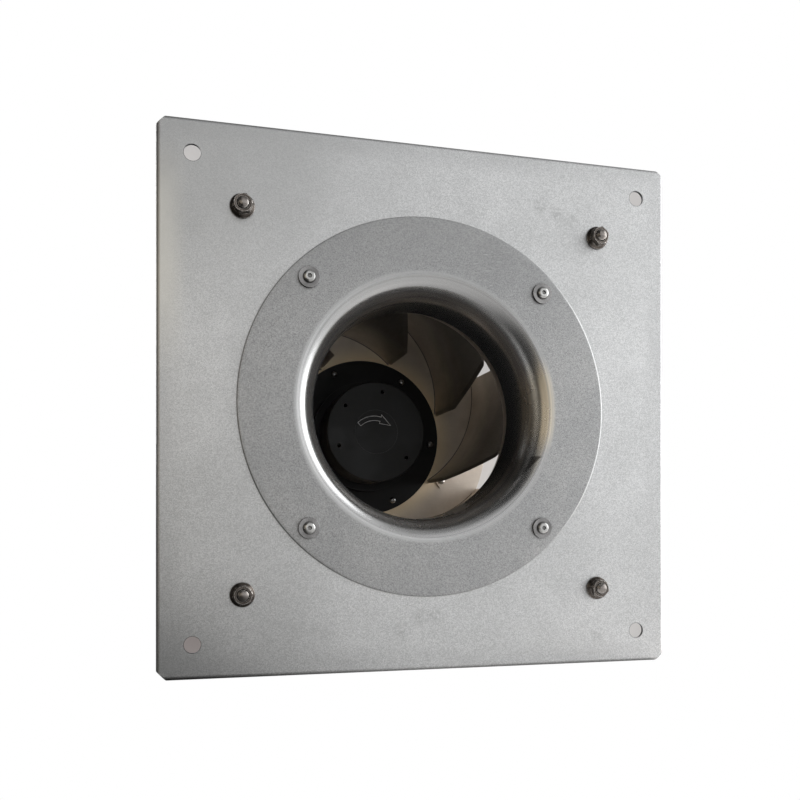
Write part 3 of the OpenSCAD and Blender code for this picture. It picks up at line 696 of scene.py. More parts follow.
def galvanised_plate(look, half):
    """Cloudy zinc with a stain along the left edge, a darker top left, finger marks and smudges, and painted
    shade and a painted dark reflection.
    """
    made, tree, shader, place = new_material("Galvanised plate", 0.9)
    zinc = use_group(tree, zinc_bloom(), Vector=place, Grain_Size=look.crystal, Cloud_Size=look.cloud)
    marks = use_group(tree, handling_marks(), Vector=place, Patch_Size=0.09)
    tone = calc(tree, "MULTIPLY_ADD", zinc["Clouds"], 0.35, times(tree, zinc["Grains"], 0.30))
    tone = calc(tree, "ADD", tone, times(tree, zinc["Tooth"], 0.35))
    sheet = mixed(tree, tone, rgba(look.plate_dark), rgba(look.plate_pale))
    sheet = grained(tree, sheet, zinc["Grains"], look.sparkle)
    x, _, z = axes_of(tree, place)
    upper = times(tree, spread(tree, z, 0.0, 0.10), spread(tree, z, 0.19, 0.15))
    stain = times(tree, spread(tree, x, 0.024 - half, 0.004 - half), upper)
    sheet = washed(tree, sheet, stain, strength=0.8, tint=(0.86, 0.83, 0.75))
    # Darker towards the top left
    darker_top_left = near_point(tree, place, (-0.15, 0, half), inner=0.03, outer=0.17)
    sheet = washed(tree, sheet, darker_top_left, strength=0.55, tint=(0.42, 0.42, 0.415))
    # Painted dark reflection in the lower left corner
    corner = near_point(tree, place, (-half, 0, -half), inner=0.01, outer=0.07)
    sheet = washed(tree, sheet, corner, strength=0.4, tint=(0.30, 0.31, 0.32))
    skin_lines = spread(tree, noise(tree, place, 330.0, 3.0, 0.7), 0.40, 0.62)
    for across, up in FINGER_MARKS:
        touched = near_point(tree, place, (across, 0, up), inner=0.002, outer=0.009)
        sheet = washed(tree, sheet, times(tree, touched, skin_lines), strength=0.42, tint=(0.33, 0.33, 0.325))
    # Painted shade towards the plate's edges and bends, patchy with the clouds
    reach = calc(tree, "MAXIMUM", calc(tree, "ABSOLUTE", x), calc(tree, "ABSOLUTE", z))
    rim = times(tree, spread(tree, reach, half - 0.022, half - 0.004), zinc["Clouds"])
    sheet = washed(tree, sheet, rim, strength=0.35, tint=(0.33, 0.33, 0.33))
    sheet = washed(tree, sheet, marks["Smudges"], strength=0.22, tint=(0.40, 0.40, 0.395))
    sheet = washed(tree, sheet, marks["Scratches"], strength=0.30 * look.scratches, tint=(0.9, 0.9, 0.9))
    # Painted shade on the faces that look right, keeping the bend dark under the key light
    painted_bend_shade = spread(tree, face_axes(tree)[0], 0.6, 0.9)
    sheet = washed(tree, sheet, painted_bend_shade, strength=spread(tree, zinc["Clouds"], 0.0, 1.0, 0.65, 0.85),
                   tint=(0.13, 0.13, 0.13))
    # Painted shade on the walls of the corner holes
    folded = vector_math(tree, "ABSOLUTE", stretched(tree, place, 0.0, (1, 0, 1))).outputs[0]
    painted_hole_shade = near_point(tree, folded, (HOLE_PLACE, 0, HOLE_PLACE), inner=HOLE_RADIUS + 0.1 * MM,
                           outer=HOLE_RADIUS + 0.4 * MM)
    sheet = washed(tree, sheet, painted_hole_shade, strength=0.95, tint=(0.03, 0.03, 0.032))
    # Painted shade and grime in corners and round the parts that touch the plate
    shade_and_grime = use_group(tree, corner_shade_and_grime(), Vector=place, Reach=0.004)["Grime"]
    sheet = washed(tree, sheet, shade_and_grime, strength=0.6, tint=(0.10, 0.095, 0.09))
    rough = calc(tree, "MULTIPLY_ADD", zinc["Grains"], 0.10, 0.36)
    rough = calc(tree, "SUBTRACT", rough, times(tree, zinc["Clouds"], 0.05))
    height = calc(tree, "ADD", times(tree, zinc["Grains"], 0.5), zinc["Tooth"])
    finish(tree, shader, sheet, rough, height, strength=0.22, distance=0.2 * MM)
    return made


def inlet_ring_zinc(look, flange_start, outer):
    """Zinc on the flat flange, spun bare metal in the curve, with scuffs, painted shade on the upper flange
    and in the throat, a painted highlight on the right rim, and a painted warm reflection and a painted dark
    reflection on the lip.
    """
    made, tree, shader, place = new_material("Inlet ring zinc", 0.92)
    finer = 0.7
    zinc = use_group(tree, zinc_bloom(), Vector=place, Grain_Size=look.crystal * finer,
                     Cloud_Size=look.cloud * finer)
    marks = use_group(tree, handling_marks(), Vector=place, Patch_Size=0.05)
    spun = use_group(tree, spun_lines(), Vector=place, Pitch=0.0011)
    x, y, z = axes_of(tree, place)
    curve = spread(tree, spun["Radius"], flange_start + 1 * MM, flange_start - 4 * MM)
    flat = calc(tree, "SUBTRACT", 1.0, curve)
    tone = calc(tree, "ADD", times(tree, zinc["Clouds"], 0.45), times(tree, zinc["Tooth"], 0.55))
    sheet = mixed(tree, tone, rgba(look.ring_dark), rgba(look.ring_pale))
    sheet = mixed(tree, flat, sheet, grained(tree, sheet, zinc["Grains"], look.sparkle * 1.5))
    sheet = washed(tree, sheet, curve, strength=0.6, tint=(0.66, 0.65, 0.64))
    handled = near_point(tree, place, (0.050, 0, 0.112), inner=0.012, outer=0.026)
    scuffs = calc(tree, "MAXIMUM", handled, times(tree, marks["Smudges"], 0.3))
    streaks = noise(tree, stretched(tree, place, 0.5, (110, 110, 1100)), 1.0, 2.0)
    lines = times(tree, spread(tree, streaks, 0.63, 0.70), times(tree, scuffs, flat))
    sheet = washed(tree, sheet, scuffs, strength=0.18, tint=(0.27, 0.27, 0.27))
    sheet = washed(tree, sheet, lines, strength=look.scratches, tint=(0.92, 0.92, 0.91))
    # Painted shade: the flat flange darker towards the top
    top = spread(tree, z, 0.05, 0.13, 0.0, 0.35)
    sheet = washed(tree, sheet, top, strength=flat, tint=(0.27, 0.27, 0.27))
    # Painted highlight along the right of the flange's rim
    rim = spread(tree, spun["Radius"], outer - 1.2 * MM, outer - 0.5 * MM)
    sheet = washed(tree, sheet, rim, strength=spread(tree, x, 0.09, 0.13), tint=(0.82, 0.82, 0.81))
    # Painted warm reflection on the right of the lip
    warm = times(tree, near_point(tree, place, (0.097, 0.002, 0.004), inner=0.018, outer=0.042), curve)
    sheet = washed(tree, sheet, warm, strength=0.85, tint=(0.86, 0.77, 0.62))
    # Painted dark reflection at the lower right of the lip
    dark_reflection = painted_lip_reflection(tree, place, spun["Radius"])
    sheet = washed(tree, sheet, dark_reflection, strength=0.8, tint=(0.05, 0.045, 0.04))
    rubbed = times(tree, spread(tree, spun["Lines"], 0.42, 0.66), curve)
    sheet = washed(tree, sheet, rubbed, strength=0.3, tint=(0.30, 0.295, 0.29))
    # Painted shade, darker and bluer deeper in the throat
    sheet = mixed(tree, spread(tree, y, 0.012, 0.045, 0.0, 0.7), sheet, (0.125, 0.135, 0.155, 1))
    rough = calc(tree, "MULTIPLY_ADD", curve, -0.20, 0.44)
    rough = calc(tree, "ADD", rough, times(tree, zinc["Clouds"], 0.04))
    height = calc(tree, "ADD", times(tree, zinc["Tooth"], flat), times(tree, spun["Lines"], 0.12, curve))
    finish(tree, shader, sheet, rough, height, strength=0.2, distance=0.2 * MM)
    return made


def painted_lip_reflection(tree, place, radius):
    """Mask of a painted dark reflection at the lower right of the inlet, cut off on the lip and soft in the
    sweep.
    """
    x, _, z = axes_of(tree, place)
    lip = spread(tree, radius, 0.0905, 0.0945)
    sharp = times(tree, spread(tree, z, -0.0345, -0.0365), lip)
    soft = times(tree, spread(tree, z, 0.0, -0.06), calc(tree, "SUBTRACT", 1.0, lip))
    inside_chord = spread(tree, calc(tree, "SUBTRACT", x, z), 0.1290, 0.1268)
    patchy = spread(tree, noise(tree, place, 500.0), 0.2, 0.45, 0.6, 1.0)
    dark_reflection = times(tree, inside_chord, calc(tree, "ADD", sharp, soft))
    return times(tree, dark_reflection, spread(tree, x, 0.058, 0.080), patchy)


def stainless_steel(name, tint, painted_side_shade=0.0):
    """Turned steel with painted shade on the faces that stand along the fan's axis."""
    made, tree, shader, place = new_material(name, 1.0)
    grain = use_group(tree, moulded_grain(), Vector=place, Grain_Size=0.6 * MM)
    edge = use_group(tree, worn_edges(), Vector=place, Width=0.4 * MM)["Edge"]
    steel = mixed(tree, grain["Tone"], rgba(dimmed(tint, 0.6)), rgba(tint))
    steel = washed(tree, steel, edge, strength=0.5, tint=(0.9, 0.9, 0.88))
    # Painted shade: the side faces of heads and washers are darkened
    facing = calc(tree, "ABSOLUTE", face_axes(tree)[1])
    steel = mixed(tree, spread(tree, facing, 0.8, 0.3, 0.0, painted_side_shade), steel, (0.02, 0.018, 0.017, 1))
    # Painted shade and grime in corners and under the heads
    shade_and_grime = use_group(tree, corner_shade_and_grime(), Vector=place, Reach=3 * MM)["Grime"]
    steel = washed(tree, steel, shade_and_grime, strength=0.85, tint=(0.03, 0.027, 0.025))
    rough = spread(tree, grain["Tone"], 0.0, 1.0, 0.36, 0.22)
    finish(tree, shader, steel, rough, grain["Height"], strength=0.1, distance=0.1 * MM)
    return made


def bronze_steel(name, tint, worn):
    """Brown passivated steel, bright where its edges are worn, with painted shade and grime in its corners.
    """
    made, tree, shader, place = new_material(name, 0.95)
    grain = use_group(tree, moulded_grain(), Vector=place, Grain_Size=0.9 * MM)
    edge = use_group(tree, worn_edges(), Vector=place, Width=0.8 * MM)["Edge"]
    coat = mixed(tree, grain["Tone"], rgba(dimmed(tint, 0.4)), rgba(tint))
    coat = mixed(tree, edge, coat, rgba(worn))
    # Painted shade and grime in the nut's corners
    shade_and_grime = use_group(tree, corner_shade_and_grime(), Vector=place, Reach=4 * MM)["Grime"]
    coat = washed(tree, coat, shade_and_grime, strength=0.9, tint=(0.015, 0.012, 0.010))
    rough = spread(tree, grain["Tone"], 0.0, 1.0, 0.36, 0.22)
    finish(tree, shader, coat, rough, grain["Height"], strength=0.2, distance=0.15 * MM)
    return made


def screw_steel(look):
    """Bright steel of the screws, made once."""
    name = "Stainless steel"
    # The screw heads' sides get painted shade
    return bpy.data.materials.get(name) or stainless_steel(name, look.steel, painted_side_shade=0.6)


def bolt_steel(look):
    """Brown steel of the nuts and bolts, made once."""
    name = "Bolt steel"
    return bpy.data.materials.get(name) or bronze_steel(name, look.bronze, look.bronze_worn)


def coated(name, tint, grain_size, roughness, dust, wear, gloss=0.5):
    """Painted or moulded dark surface with fine skin, dust and rubbed edges."""
    made, tree, shader, place = new_material(name, 0.0, Specular_IOR_Level=gloss)
    grain = use_group(tree, moulded_grain(), Vector=place, Grain_Size=grain_size)
    edge = use_group(tree, worn_edges(), Vector=place, Width=0.6 * MM)["Edge"]
    skin = mixed(tree, times(tree, grain["Tone"], dust), rgba(tint), (0.12, 0.12, 0.115, 1))
    skin = washed(tree, skin, edge, strength=wear, tint=(0.22, 0.22, 0.22))
    rough = spread(tree, grain["Tone"], 0.0, 1.0, roughness, roughness + 0.12)
    finish(tree, shader, skin, rough, grain["Height"], strength=0.18, distance=0.15 * MM)
    return made


def impeller_sheet(look, name, painted_glow, depth_shade_strength, depth_shade_start, depth_shade_end):
    """Rolled sheet with a painted warm glow round the hub and painted shade that deepens from one depth to
    another.
    """
    made, tree, shader, place = new_material(name, 0.55)
    marks = use_group(tree, handling_marks(), Vector=place, Patch_Size=0.045)
    grain = use_group(tree, moulded_grain(), Vector=place, Grain_Size=1.1 * MM)
    rolled = noise(tree, stretched(tree, place, 0.6, (60, 60, 2400)), 1.0, 2.0)
    tone = calc(tree, "ADD", times(tree, grain["Tone"], 0.5), times(tree, rolled, 0.5))
    sheet = mixed(tree, tone, rgba(look.dark), rgba(look.pale))
    sheet = washed(tree, sheet, marks["Smudges"], strength=0.15, tint=(0.24, 0.21, 0.18))
    sheet = washed(tree, sheet, marks["Scratches"], strength=0.4, tint=(0.75, 0.70, 0.64))
    radius = use_group(tree, spun_lines(), Vector=place, Pitch=2 * MM)["Radius"]
    # Painted warm glow round the hub, standing in for light
    sheet = washed(tree, sheet, spread(tree, radius, 0.100, 0.074), strength=painted_glow, tint=look.glow_tint)
    # Painted shade that deepens from the start depth to the end depth
    patchy = calc(tree, "MULTIPLY_ADD", grain["Tone"], 0.008, axes_of(tree, place)[1])
    depth_shade = spread(tree, patchy, depth_shade_start, depth_shade_end)
    sheet = washed(tree, sheet, depth_shade, strength=depth_shade_strength, tint=look.depth_shade)
    rough = spread(tree, rolled, 0.3, 0.7, 0.36, 0.48)
    height = calc(tree, "ADD", rolled, grain["Height"])
    finish(tree, shader, sheet, rough, height, strength=0.08, distance=0.15 * MM)
    return made


def cast_metal():
    """Grey die-cast metal with bright edges."""
    made, tree, shader, place = new_material("Cast housing", 0.75)
    grain = use_group(tree, moulded_grain(), Vector=place, Grain_Size=1.4 * MM)
    edge = use_group(tree, worn_edges(), Vector=place, Width=0.8 * MM)["Edge"]
    skin = mixed(tree, grain["Tone"], (0.40, 0.41, 0.42, 1), (0.56, 0.57, 0.58, 1))
    skin = washed(tree, skin, edge, strength=0.6, tint=(0.72, 0.72, 0.73))
    rough = spread(tree, grain["Tone"], 0.0, 1.0, 0.56, 0.44)
    finish(tree, shader, skin, rough, grain["Height"], strength=0.35, distance=0.3 * MM)
    return made


def layered(name, dark, pale, direction, per_metre, metallic, roughness):
    """Fine layers along one direction: stacked sheets or wound wire."""
    made, tree, shader, place = new_material(name, metallic)
    grain = use_group(tree, moulded_grain(), Vector=place, Grain_Size=1.2 * MM)
    wave = {"Vector": place, "Scale": per_metre, "Distortion": 0.6, "Detail": 2.0, "Detail Scale": 3.0}
    bands = add_node(tree, "ShaderNodeTexWave", wave, bands_direction=direction).outputs[1]
    tone = calc(tree, "ADD", times(tree, bands, 0.7), times(tree, grain["Tone"], 0.3))
    rough = spread(tree, grain["Tone"], 0.0, 1.0, roughness, roughness + 0.1)
    skin = mixed(tree, tone, rgba(dark), rgba(pale))
    finish(tree, shader, skin, rough, bands, strength=0.4, distance=0.3 * MM)
    return made


def board_laminate():
    """Green laminate with faint tracks."""
    made, tree, shader, place = new_material("Board laminate", 0.0)
    tracks = add_node(tree, "ShaderNodeTexVoronoi", {"Vector": place, "Scale": 170.0},
                      feature="DISTANCE_TO_EDGE")
    grain = use_group(tree, moulded_grain(), Vector=place, Grain_Size=0.8 * MM)
    copper = spread(tree, tracks.outputs["Distance"], 0.06, 0.10)
    green = mixed(tree, copper, (0.10, 0.24, 0.12, 1), (0.03, 0.13, 0.06, 1))
    green = washed(tree, green, grain["Tone"], strength=0.2, tint=(0.05, 0.10, 0.06))
    rough = spread(tree, grain["Tone"], 0.0, 1.0, 0.28, 0.40)
    finish(tree, shader, green, rough, copper, strength=0.3, distance=0.1 * MM)
    return made


def dress(node_names, material):
    """Give CAD nodes a finish."""
    for name in node_names:
        for held in frame["nodes"][name].material_slots:
            held.material = material


# Geometry node trees

def as_rotation(tree, **angles):
    """Rotation about one axis of the frame."""
    turned = add_node(tree, "ShaderNodeCombineXYZ", {key.upper(): angle for key, angle in angles.items()})
    return add_node(tree, "FunctionNodeEulerToRotation", {0: turned.outputs[0]}).outputs[0]


def close_tree(tree, copies, material, end):
    """Real geometry with its material at the end of a tree."""
    real = add_node(tree, "GeometryNodeRealizeInstances", {"Geometry": copies})
    painted = add_node(tree, "GeometryNodeSetMaterial", {"Geometry": real.outputs[0], "Material": material})
    tree.links.new(painted.outputs[0], end)


@named_group("Copies on a circle")
def ring_tree(name):
    """Copies of a piece on a circle about the fan's axis, each rolled by chance about its own axis."""
    tree, given, out = new_group(name, [
        ("Geometry", GEOMETRY), ("Count", WHOLE), ("Radius", FLOAT), ("First Angle", FLOAT),
        ("Roll", FLOAT), ("Seed", WHOLE), ("Material", MATERIAL)],
        [("Geometry", GEOMETRY)], "GeometryNodeTree")
    circle = add_node(tree, "GeometryNodeMeshCircle", {"Vertices": given["Count"], "Radius": given["Radius"]})
    started = add_node(tree, "GeometryNodeTransform", {
        "Geometry": circle.outputs[0], "Rotation": as_rotation(tree, z=given["First Angle"])})
    upright = add_node(tree, "GeometryNodeTransform", {
        "Geometry": started.outputs[0], "Rotation": (RIGHT_ANGLE, 0, 0)})
    chance = add_node(tree, "FunctionNodeRandomValue", {3: given["Roll"], 8: given["Seed"]},
                      data_type="FLOAT")
    copies = add_node(tree, "GeometryNodeInstanceOnPoints", {
        "Points": upright.outputs[0], "Instance": given["Geometry"],
        "Rotation": as_rotation(tree, y=chance.outputs[1])})
    close_tree(tree, copies.outputs[0], given["Material"], out["Geometry"])
    return tree


@named_group("Copies turned about the axis")
def turned_tree(name):
    """Copies of a piece turned about the fan's axis."""
    tree, given, out = new_group(name, [
        ("Geometry", GEOMETRY), ("Count", WHOLE), ("First Angle", FLOAT), ("Material", MATERIAL)],
        [("Geometry", GEOMETRY)], "GeometryNodeTree")
    points = add_node(tree, "GeometryNodePoints", {"Count": given["Count"]})
    step = calc(tree, "DIVIDE", 2 * math.pi, given["Count"])
    index = tree.nodes.new("GeometryNodeInputIndex").outputs[0]
    angle = calc(tree, "MULTIPLY_ADD", index, step, given["First Angle"])
    copies = add_node(tree, "GeometryNodeInstanceOnPoints", {
        "Points": points.outputs[0], "Instance": given["Geometry"],
        "Rotation": as_rotation(tree, y=times(tree, angle, -1.0))})
    close_tree(tree, copies.outputs[0], given["Material"], out["Geometry"])
    return tree


@named_group("Seam beads")
def seam_tree(name):
    """Uneven bead along an arc, repeated about the fan's axis."""
    tree, given, out = new_group(name, [
        ("Geometry", GEOMETRY), ("Count", WHOLE), ("First Angle", FLOAT), ("Arc Radius", FLOAT),
        ("Start", FLOAT), ("Sweep", FLOAT), ("Centre", VECTOR), ("Bead", FLOAT), ("Unevenness", FLOAT),
        ("Material", MATERIAL)], [("Geometry", GEOMETRY)], "GeometryNodeTree")
    arc = add_node(tree, "GeometryNodeCurveArc", {
        "Resolution": 90, "Radius": given["Arc Radius"], "Start Angle": given["Start"],
        "Sweep Angle": given["Sweep"]}, mode="RADIUS")
    upright = add_node(tree, "GeometryNodeTransform", {
        "Geometry": arc.outputs[0], "Rotation": (RIGHT_ANGLE, 0, 0), "Translation": given["Centre"]})
    profile = add_node(tree, "GeometryNodeCurvePrimitiveCircle", {
        "Resolution": 8, "Radius": given["Bead"]}, mode="RADIUS")
    bead = add_node(tree, "GeometryNodeCurveToMesh", {
        "Curve": upright.outputs[0], "Profile Curve": profile.outputs[0], "Fill Caps": True})
    chance = add_node(tree, "ShaderNodeTexNoise", {"Scale": 420.0, "Detail": 2.0}).outputs[0]
    swell = times(tree, calc(tree, "SUBTRACT", chance, 0.5), given["Unevenness"])
    push = scaled(tree, tree.nodes.new("GeometryNodeInputNormal").outputs[0], swell)
    uneven = add_node(tree, "GeometryNodeSetPosition", {"Geometry": bead.outputs[0], "Offset": push})
    turned = tree.nodes.new("GeometryNodeGroup")
    turned.node_tree = turned_tree()
    tree.links.new(uneven.outputs[0], turned.inputs["Geometry"])
    for key in ("Count", "First Angle", "Material"):
        tree.links.new(given[key], turned.inputs[key])
    tree.links.new(turned.outputs[0], out["Geometry"])
    return tree


def grown(piece, tree, **inputs):
    """Run a tree on a piece and keep the result as its plain mesh."""
    modifier = piece.modifiers.new(tree.name, "NODES")
    modifier.node_group = tree
    for item in tree.interface.items_tree:
        key = item.name.replace(" ", "_")
        if item.in_out == "INPUT" and key in inputs:
            modifier[item.identifier] = inputs[key]
    graph = bpy.context.evaluated_depsgraph_get()
    mesh = bpy.data.meshes.new_from_object(piece.evaluated_get(graph), depsgraph=graph)
    piece.modifiers.clear()
    piece.data = mesh
    return piece


def placed(piece, body, material=None, stands_for=()):
    """Finish a piece: its material, its body and the nodes it stands for."""
    if material is not None:
        piece.data.materials.clear()
        piece.data.materials.append(material)
    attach(piece, body)
    if stands_for:
        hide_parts(*stands_for)
    return piece


# Operators

class MakePlate(bpy.types.Operator):
    """Finish the galvanised mounting plate"""
    bl_idname = "plug_fan.plate"
    bl_label = "Mounting plate"

    def execute(self, context):
        look = context.scene.fan_sheet
        dress(["mounting_plate"], galvanised_plate(look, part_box("mounting_plate")[1].x))
        return {"FINISHED"}


class MakeInletRing(bpy.types.Operator):
    """Spin the inlet ring with its rounded edges"""
    bl_idname = "plug_fan.inlet_ring"
    bl_label = "Inlet ring"

    def execute(self, context):
        look = context.scene.fan_sheet
        shape = context.scene.fan_ring
        low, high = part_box("inlet_ring")
        outer = high.x
        turn_in = shape.lip_turn
        flange_start = shape.throat + shape.lip * math.sin(turn_in) + shape.sweep * (1 - math.sin(turn_in))
        lip_centre = (flange_start, low.y + shape.lip)
        sweep_depth = lip_centre[1] + (shape.sweep - shape.lip) * math.cos(turn_in)
        sweep_centre = (shape.throat + shape.sweep, sweep_depth)
        front = self.side(shape, outer, low.y, high.y, lip_centre, sweep_centre, 0)
        back = self.side(shape, outer, 0, high.y, lip_centre, sweep_centre, shape.sheet)
        outline = front + list(reversed(back))
        sections = [Section(depth, radius) for radius, depth in outline]
        ring = turned_piece("inlet_ring_spun", sections, 256, closed=True, sharp=28)
        material = inlet_ring_zinc(look, flange_start, outer)
        placed(ring, "frame", material, ["inlet_ring"])
        return {"FINISHED"}

    def side(self, shape, outer, face, rear, lip_centre, sweep_centre, inset):
        """One side of the sheet in radius and depth, from the flange's rim to the rear edge."""
        edge = shape.edge if inset else -shape.edge
        start = -RIGHT_ANGLE
        middle = start - shape.lip_turn
        curve_steps = 18
        rim_centre = (outer - shape.edge, face - edge)
        points = arc_points(rim_centre, shape.edge, 0, math.copysign(RIGHT_ANGLE, edge), 4)
        points += [(outer - 4 * shape.edge, face)]
        points += arc_points(lip_centre, shape.lip - inset, start, middle, curve_steps)
        points += arc_points(sweep_centre, shape.sweep - inset, middle, -math.pi, curve_steps)[1:]
        wall = shape.throat + inset
        points += [(wall, rear - 4 * shape.edge), (wall, rear - shape.edge), (wall - edge, rear)]
        return points


class MakeRingScrews(bpy.types.Operator):
    """Socket screws, washers and rivet nuts that hold the inlet ring"""
    bl_idname = "plug_fan.ring_screws"
    bl_label = "Ring screws"

    def execute(self, context):
        look = context.scene.fan_fasteners
        low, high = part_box("inlet_ring_screws")
        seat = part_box("inlet_ring_washers")[0].y
        radius = pattern_radius("inlet_ring_washers", WASHER_RADIUS)
        outline = button_head(SCREW_HEAD, seat, low.y, high.y, SCREW_SHANK, look.key_flats)
        screw = turned_piece("ring_screw_heads", outline, 48)
        grown(screw, ring_tree(), Count=4, Radius=radius, First_Angle=DIAGONAL, Roll=2.0, Seed=3,
              Material=screw_steel(look))
        placed(screw, "frame", None, ["inlet_ring_screws"])
        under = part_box("inlet_ring")[0].y
        disc = turned_piece("ring_screw_washers", washer_disc(under, seat), 64, closed=True)
        # Washer steel with painted shade on the washers' sides
        grown(disc, ring_tree(), Count=4, Radius=radius, First_Angle=DIAGONAL, Roll=0.0, Seed=0,
              Material=stainless_steel("Washer steel", look.washer, painted_side_shade=0.95))
        placed(disc, "frame", None, ["inlet_ring_washers"])
        dress(["inlet_ring_rivet_nuts"], bolt_steel(look))
        return {"FINISHED"}


class MakeFlangeNuts(bpy.types.Operator):
    """Flange nuts in front of and behind the plate"""
    bl_idname = "plug_fan.flange_nuts"
    bl_label = "Flange nuts"

    def execute(self, context):
        look = context.scene.fan_fasteners
        radius = pattern_radius("front_flange_nuts", NUT_FLANGE)
        for node, name, seed in (("front_flange_nuts", "front_nuts", 5),
                                 ("rear_flange_nuts", "rear_nuts", 8)):
            low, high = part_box(node)
            seat, top = (high.y, low.y) if node.startswith("front") else (low.y, high.y)
            nut = turned_piece(name, flange_nut(look.nut_flats, seat, top), 72, closed=True, sharp=24)
            grown(nut, ring_tree(), Count=4, Radius=radius, First_Angle=DIAGONAL, Roll=2.4, Seed=seed,
                  Material=bolt_steel(look))
            placed(nut, "frame", None, [node])
        return {"FINISHED"}


class MakeStruts(bpy.types.Operator):
    """Bent strut bars and their threaded studs"""
    bl_idname = "plug_fan.struts"
    bl_label = "Struts"

    def execute(self, context):
        look = context.scene.fan_fasteners
        coat = coated("Black coat", (0.016, 0.016, 0.017), grain_size=1.2 * MM, roughness=0.42, dust=0.15,
                      wear=0.25)
        names = ["strut_lower_right", "strut_lower_left", "strut_upper_left", "strut_upper_right"]
        low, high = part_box("strut_upper_right")
        arm = high.y - BAR_RADIUS
        circle = pattern_radius("front_flange_nuts", NUT_FLANGE)
        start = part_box("rear_flange_nuts")[1].y + BAR_START
        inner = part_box("motor_bracket")[1].x - BRACKET_LAP
        path = [(circle, start), (circle, start + BAR_EDGE), (circle, start + 3 * BAR_EDGE)]
        path += arc_points((circle - BAR_BEND, arm - BAR_BEND), BAR_BEND, 0, RIGHT_ANGLE, 18)
        path += [(inner + BAR_EDGE, arm), (inner, arm)]
        radii = [BAR_RADIUS - BAR_EDGE] + [BAR_RADIUS] * (len(path) - 2) + [BAR_RADIUS - BAR_EDGE]
        bars = swept_piece("strut_bars", path, radii, 36)
        grown(bars, turned_tree(), Count=4, First_Angle=DIAGONAL, Material=coat)
        placed(bars, "frame", None, names)
        studs = shifted(self.stud(look, low.y, start + BAR_EDGE), (circle, 0, 0))
        grown(studs, turned_tree(), Count=4, First_Angle=DIAGONAL,
              Material=bronze_steel("Stud steel", look.stud, look.bronze_worn))
        placed(studs, "frame")
        dress(["motor_bracket"], coat)
        return {"FINISHED"}

    def stud(self, look, tip, end):
        """Threaded stud along the fan's axis from its tip to the bar."""
        steps = 36
        rows_per_turn = 8
        flank = 1.7
        root_width = 0.35
        count = int((end - tip) / look.pitch * rows_per_turn)
        mesh = bmesh.new()
        rows = []
        for k in range(count + 1):
            along = tip + (end - tip) * k / count
            row = []
            for i in range(steps):
                angle = 2 * math.pi * i / steps
                wave = ((along - tip) / look.pitch - i / steps) % 1
                ridge = min(1, max(0, flank * (1 - abs(2 * wave - 1)) - root_width))
                reach = STUD_RADIUS - look.thread_depth * (1 - ridge)
                reach = min(reach, STUD_RADIUS - look.chamfer + (along - tip))
                row.append(mesh.verts.new((reach * math.cos(angle), along, reach * math.sin(angle))))
            rows.append(row)
        bridge_rows(mesh, rows, False)
        return finished_piece(mesh, "stud_threads", 50)


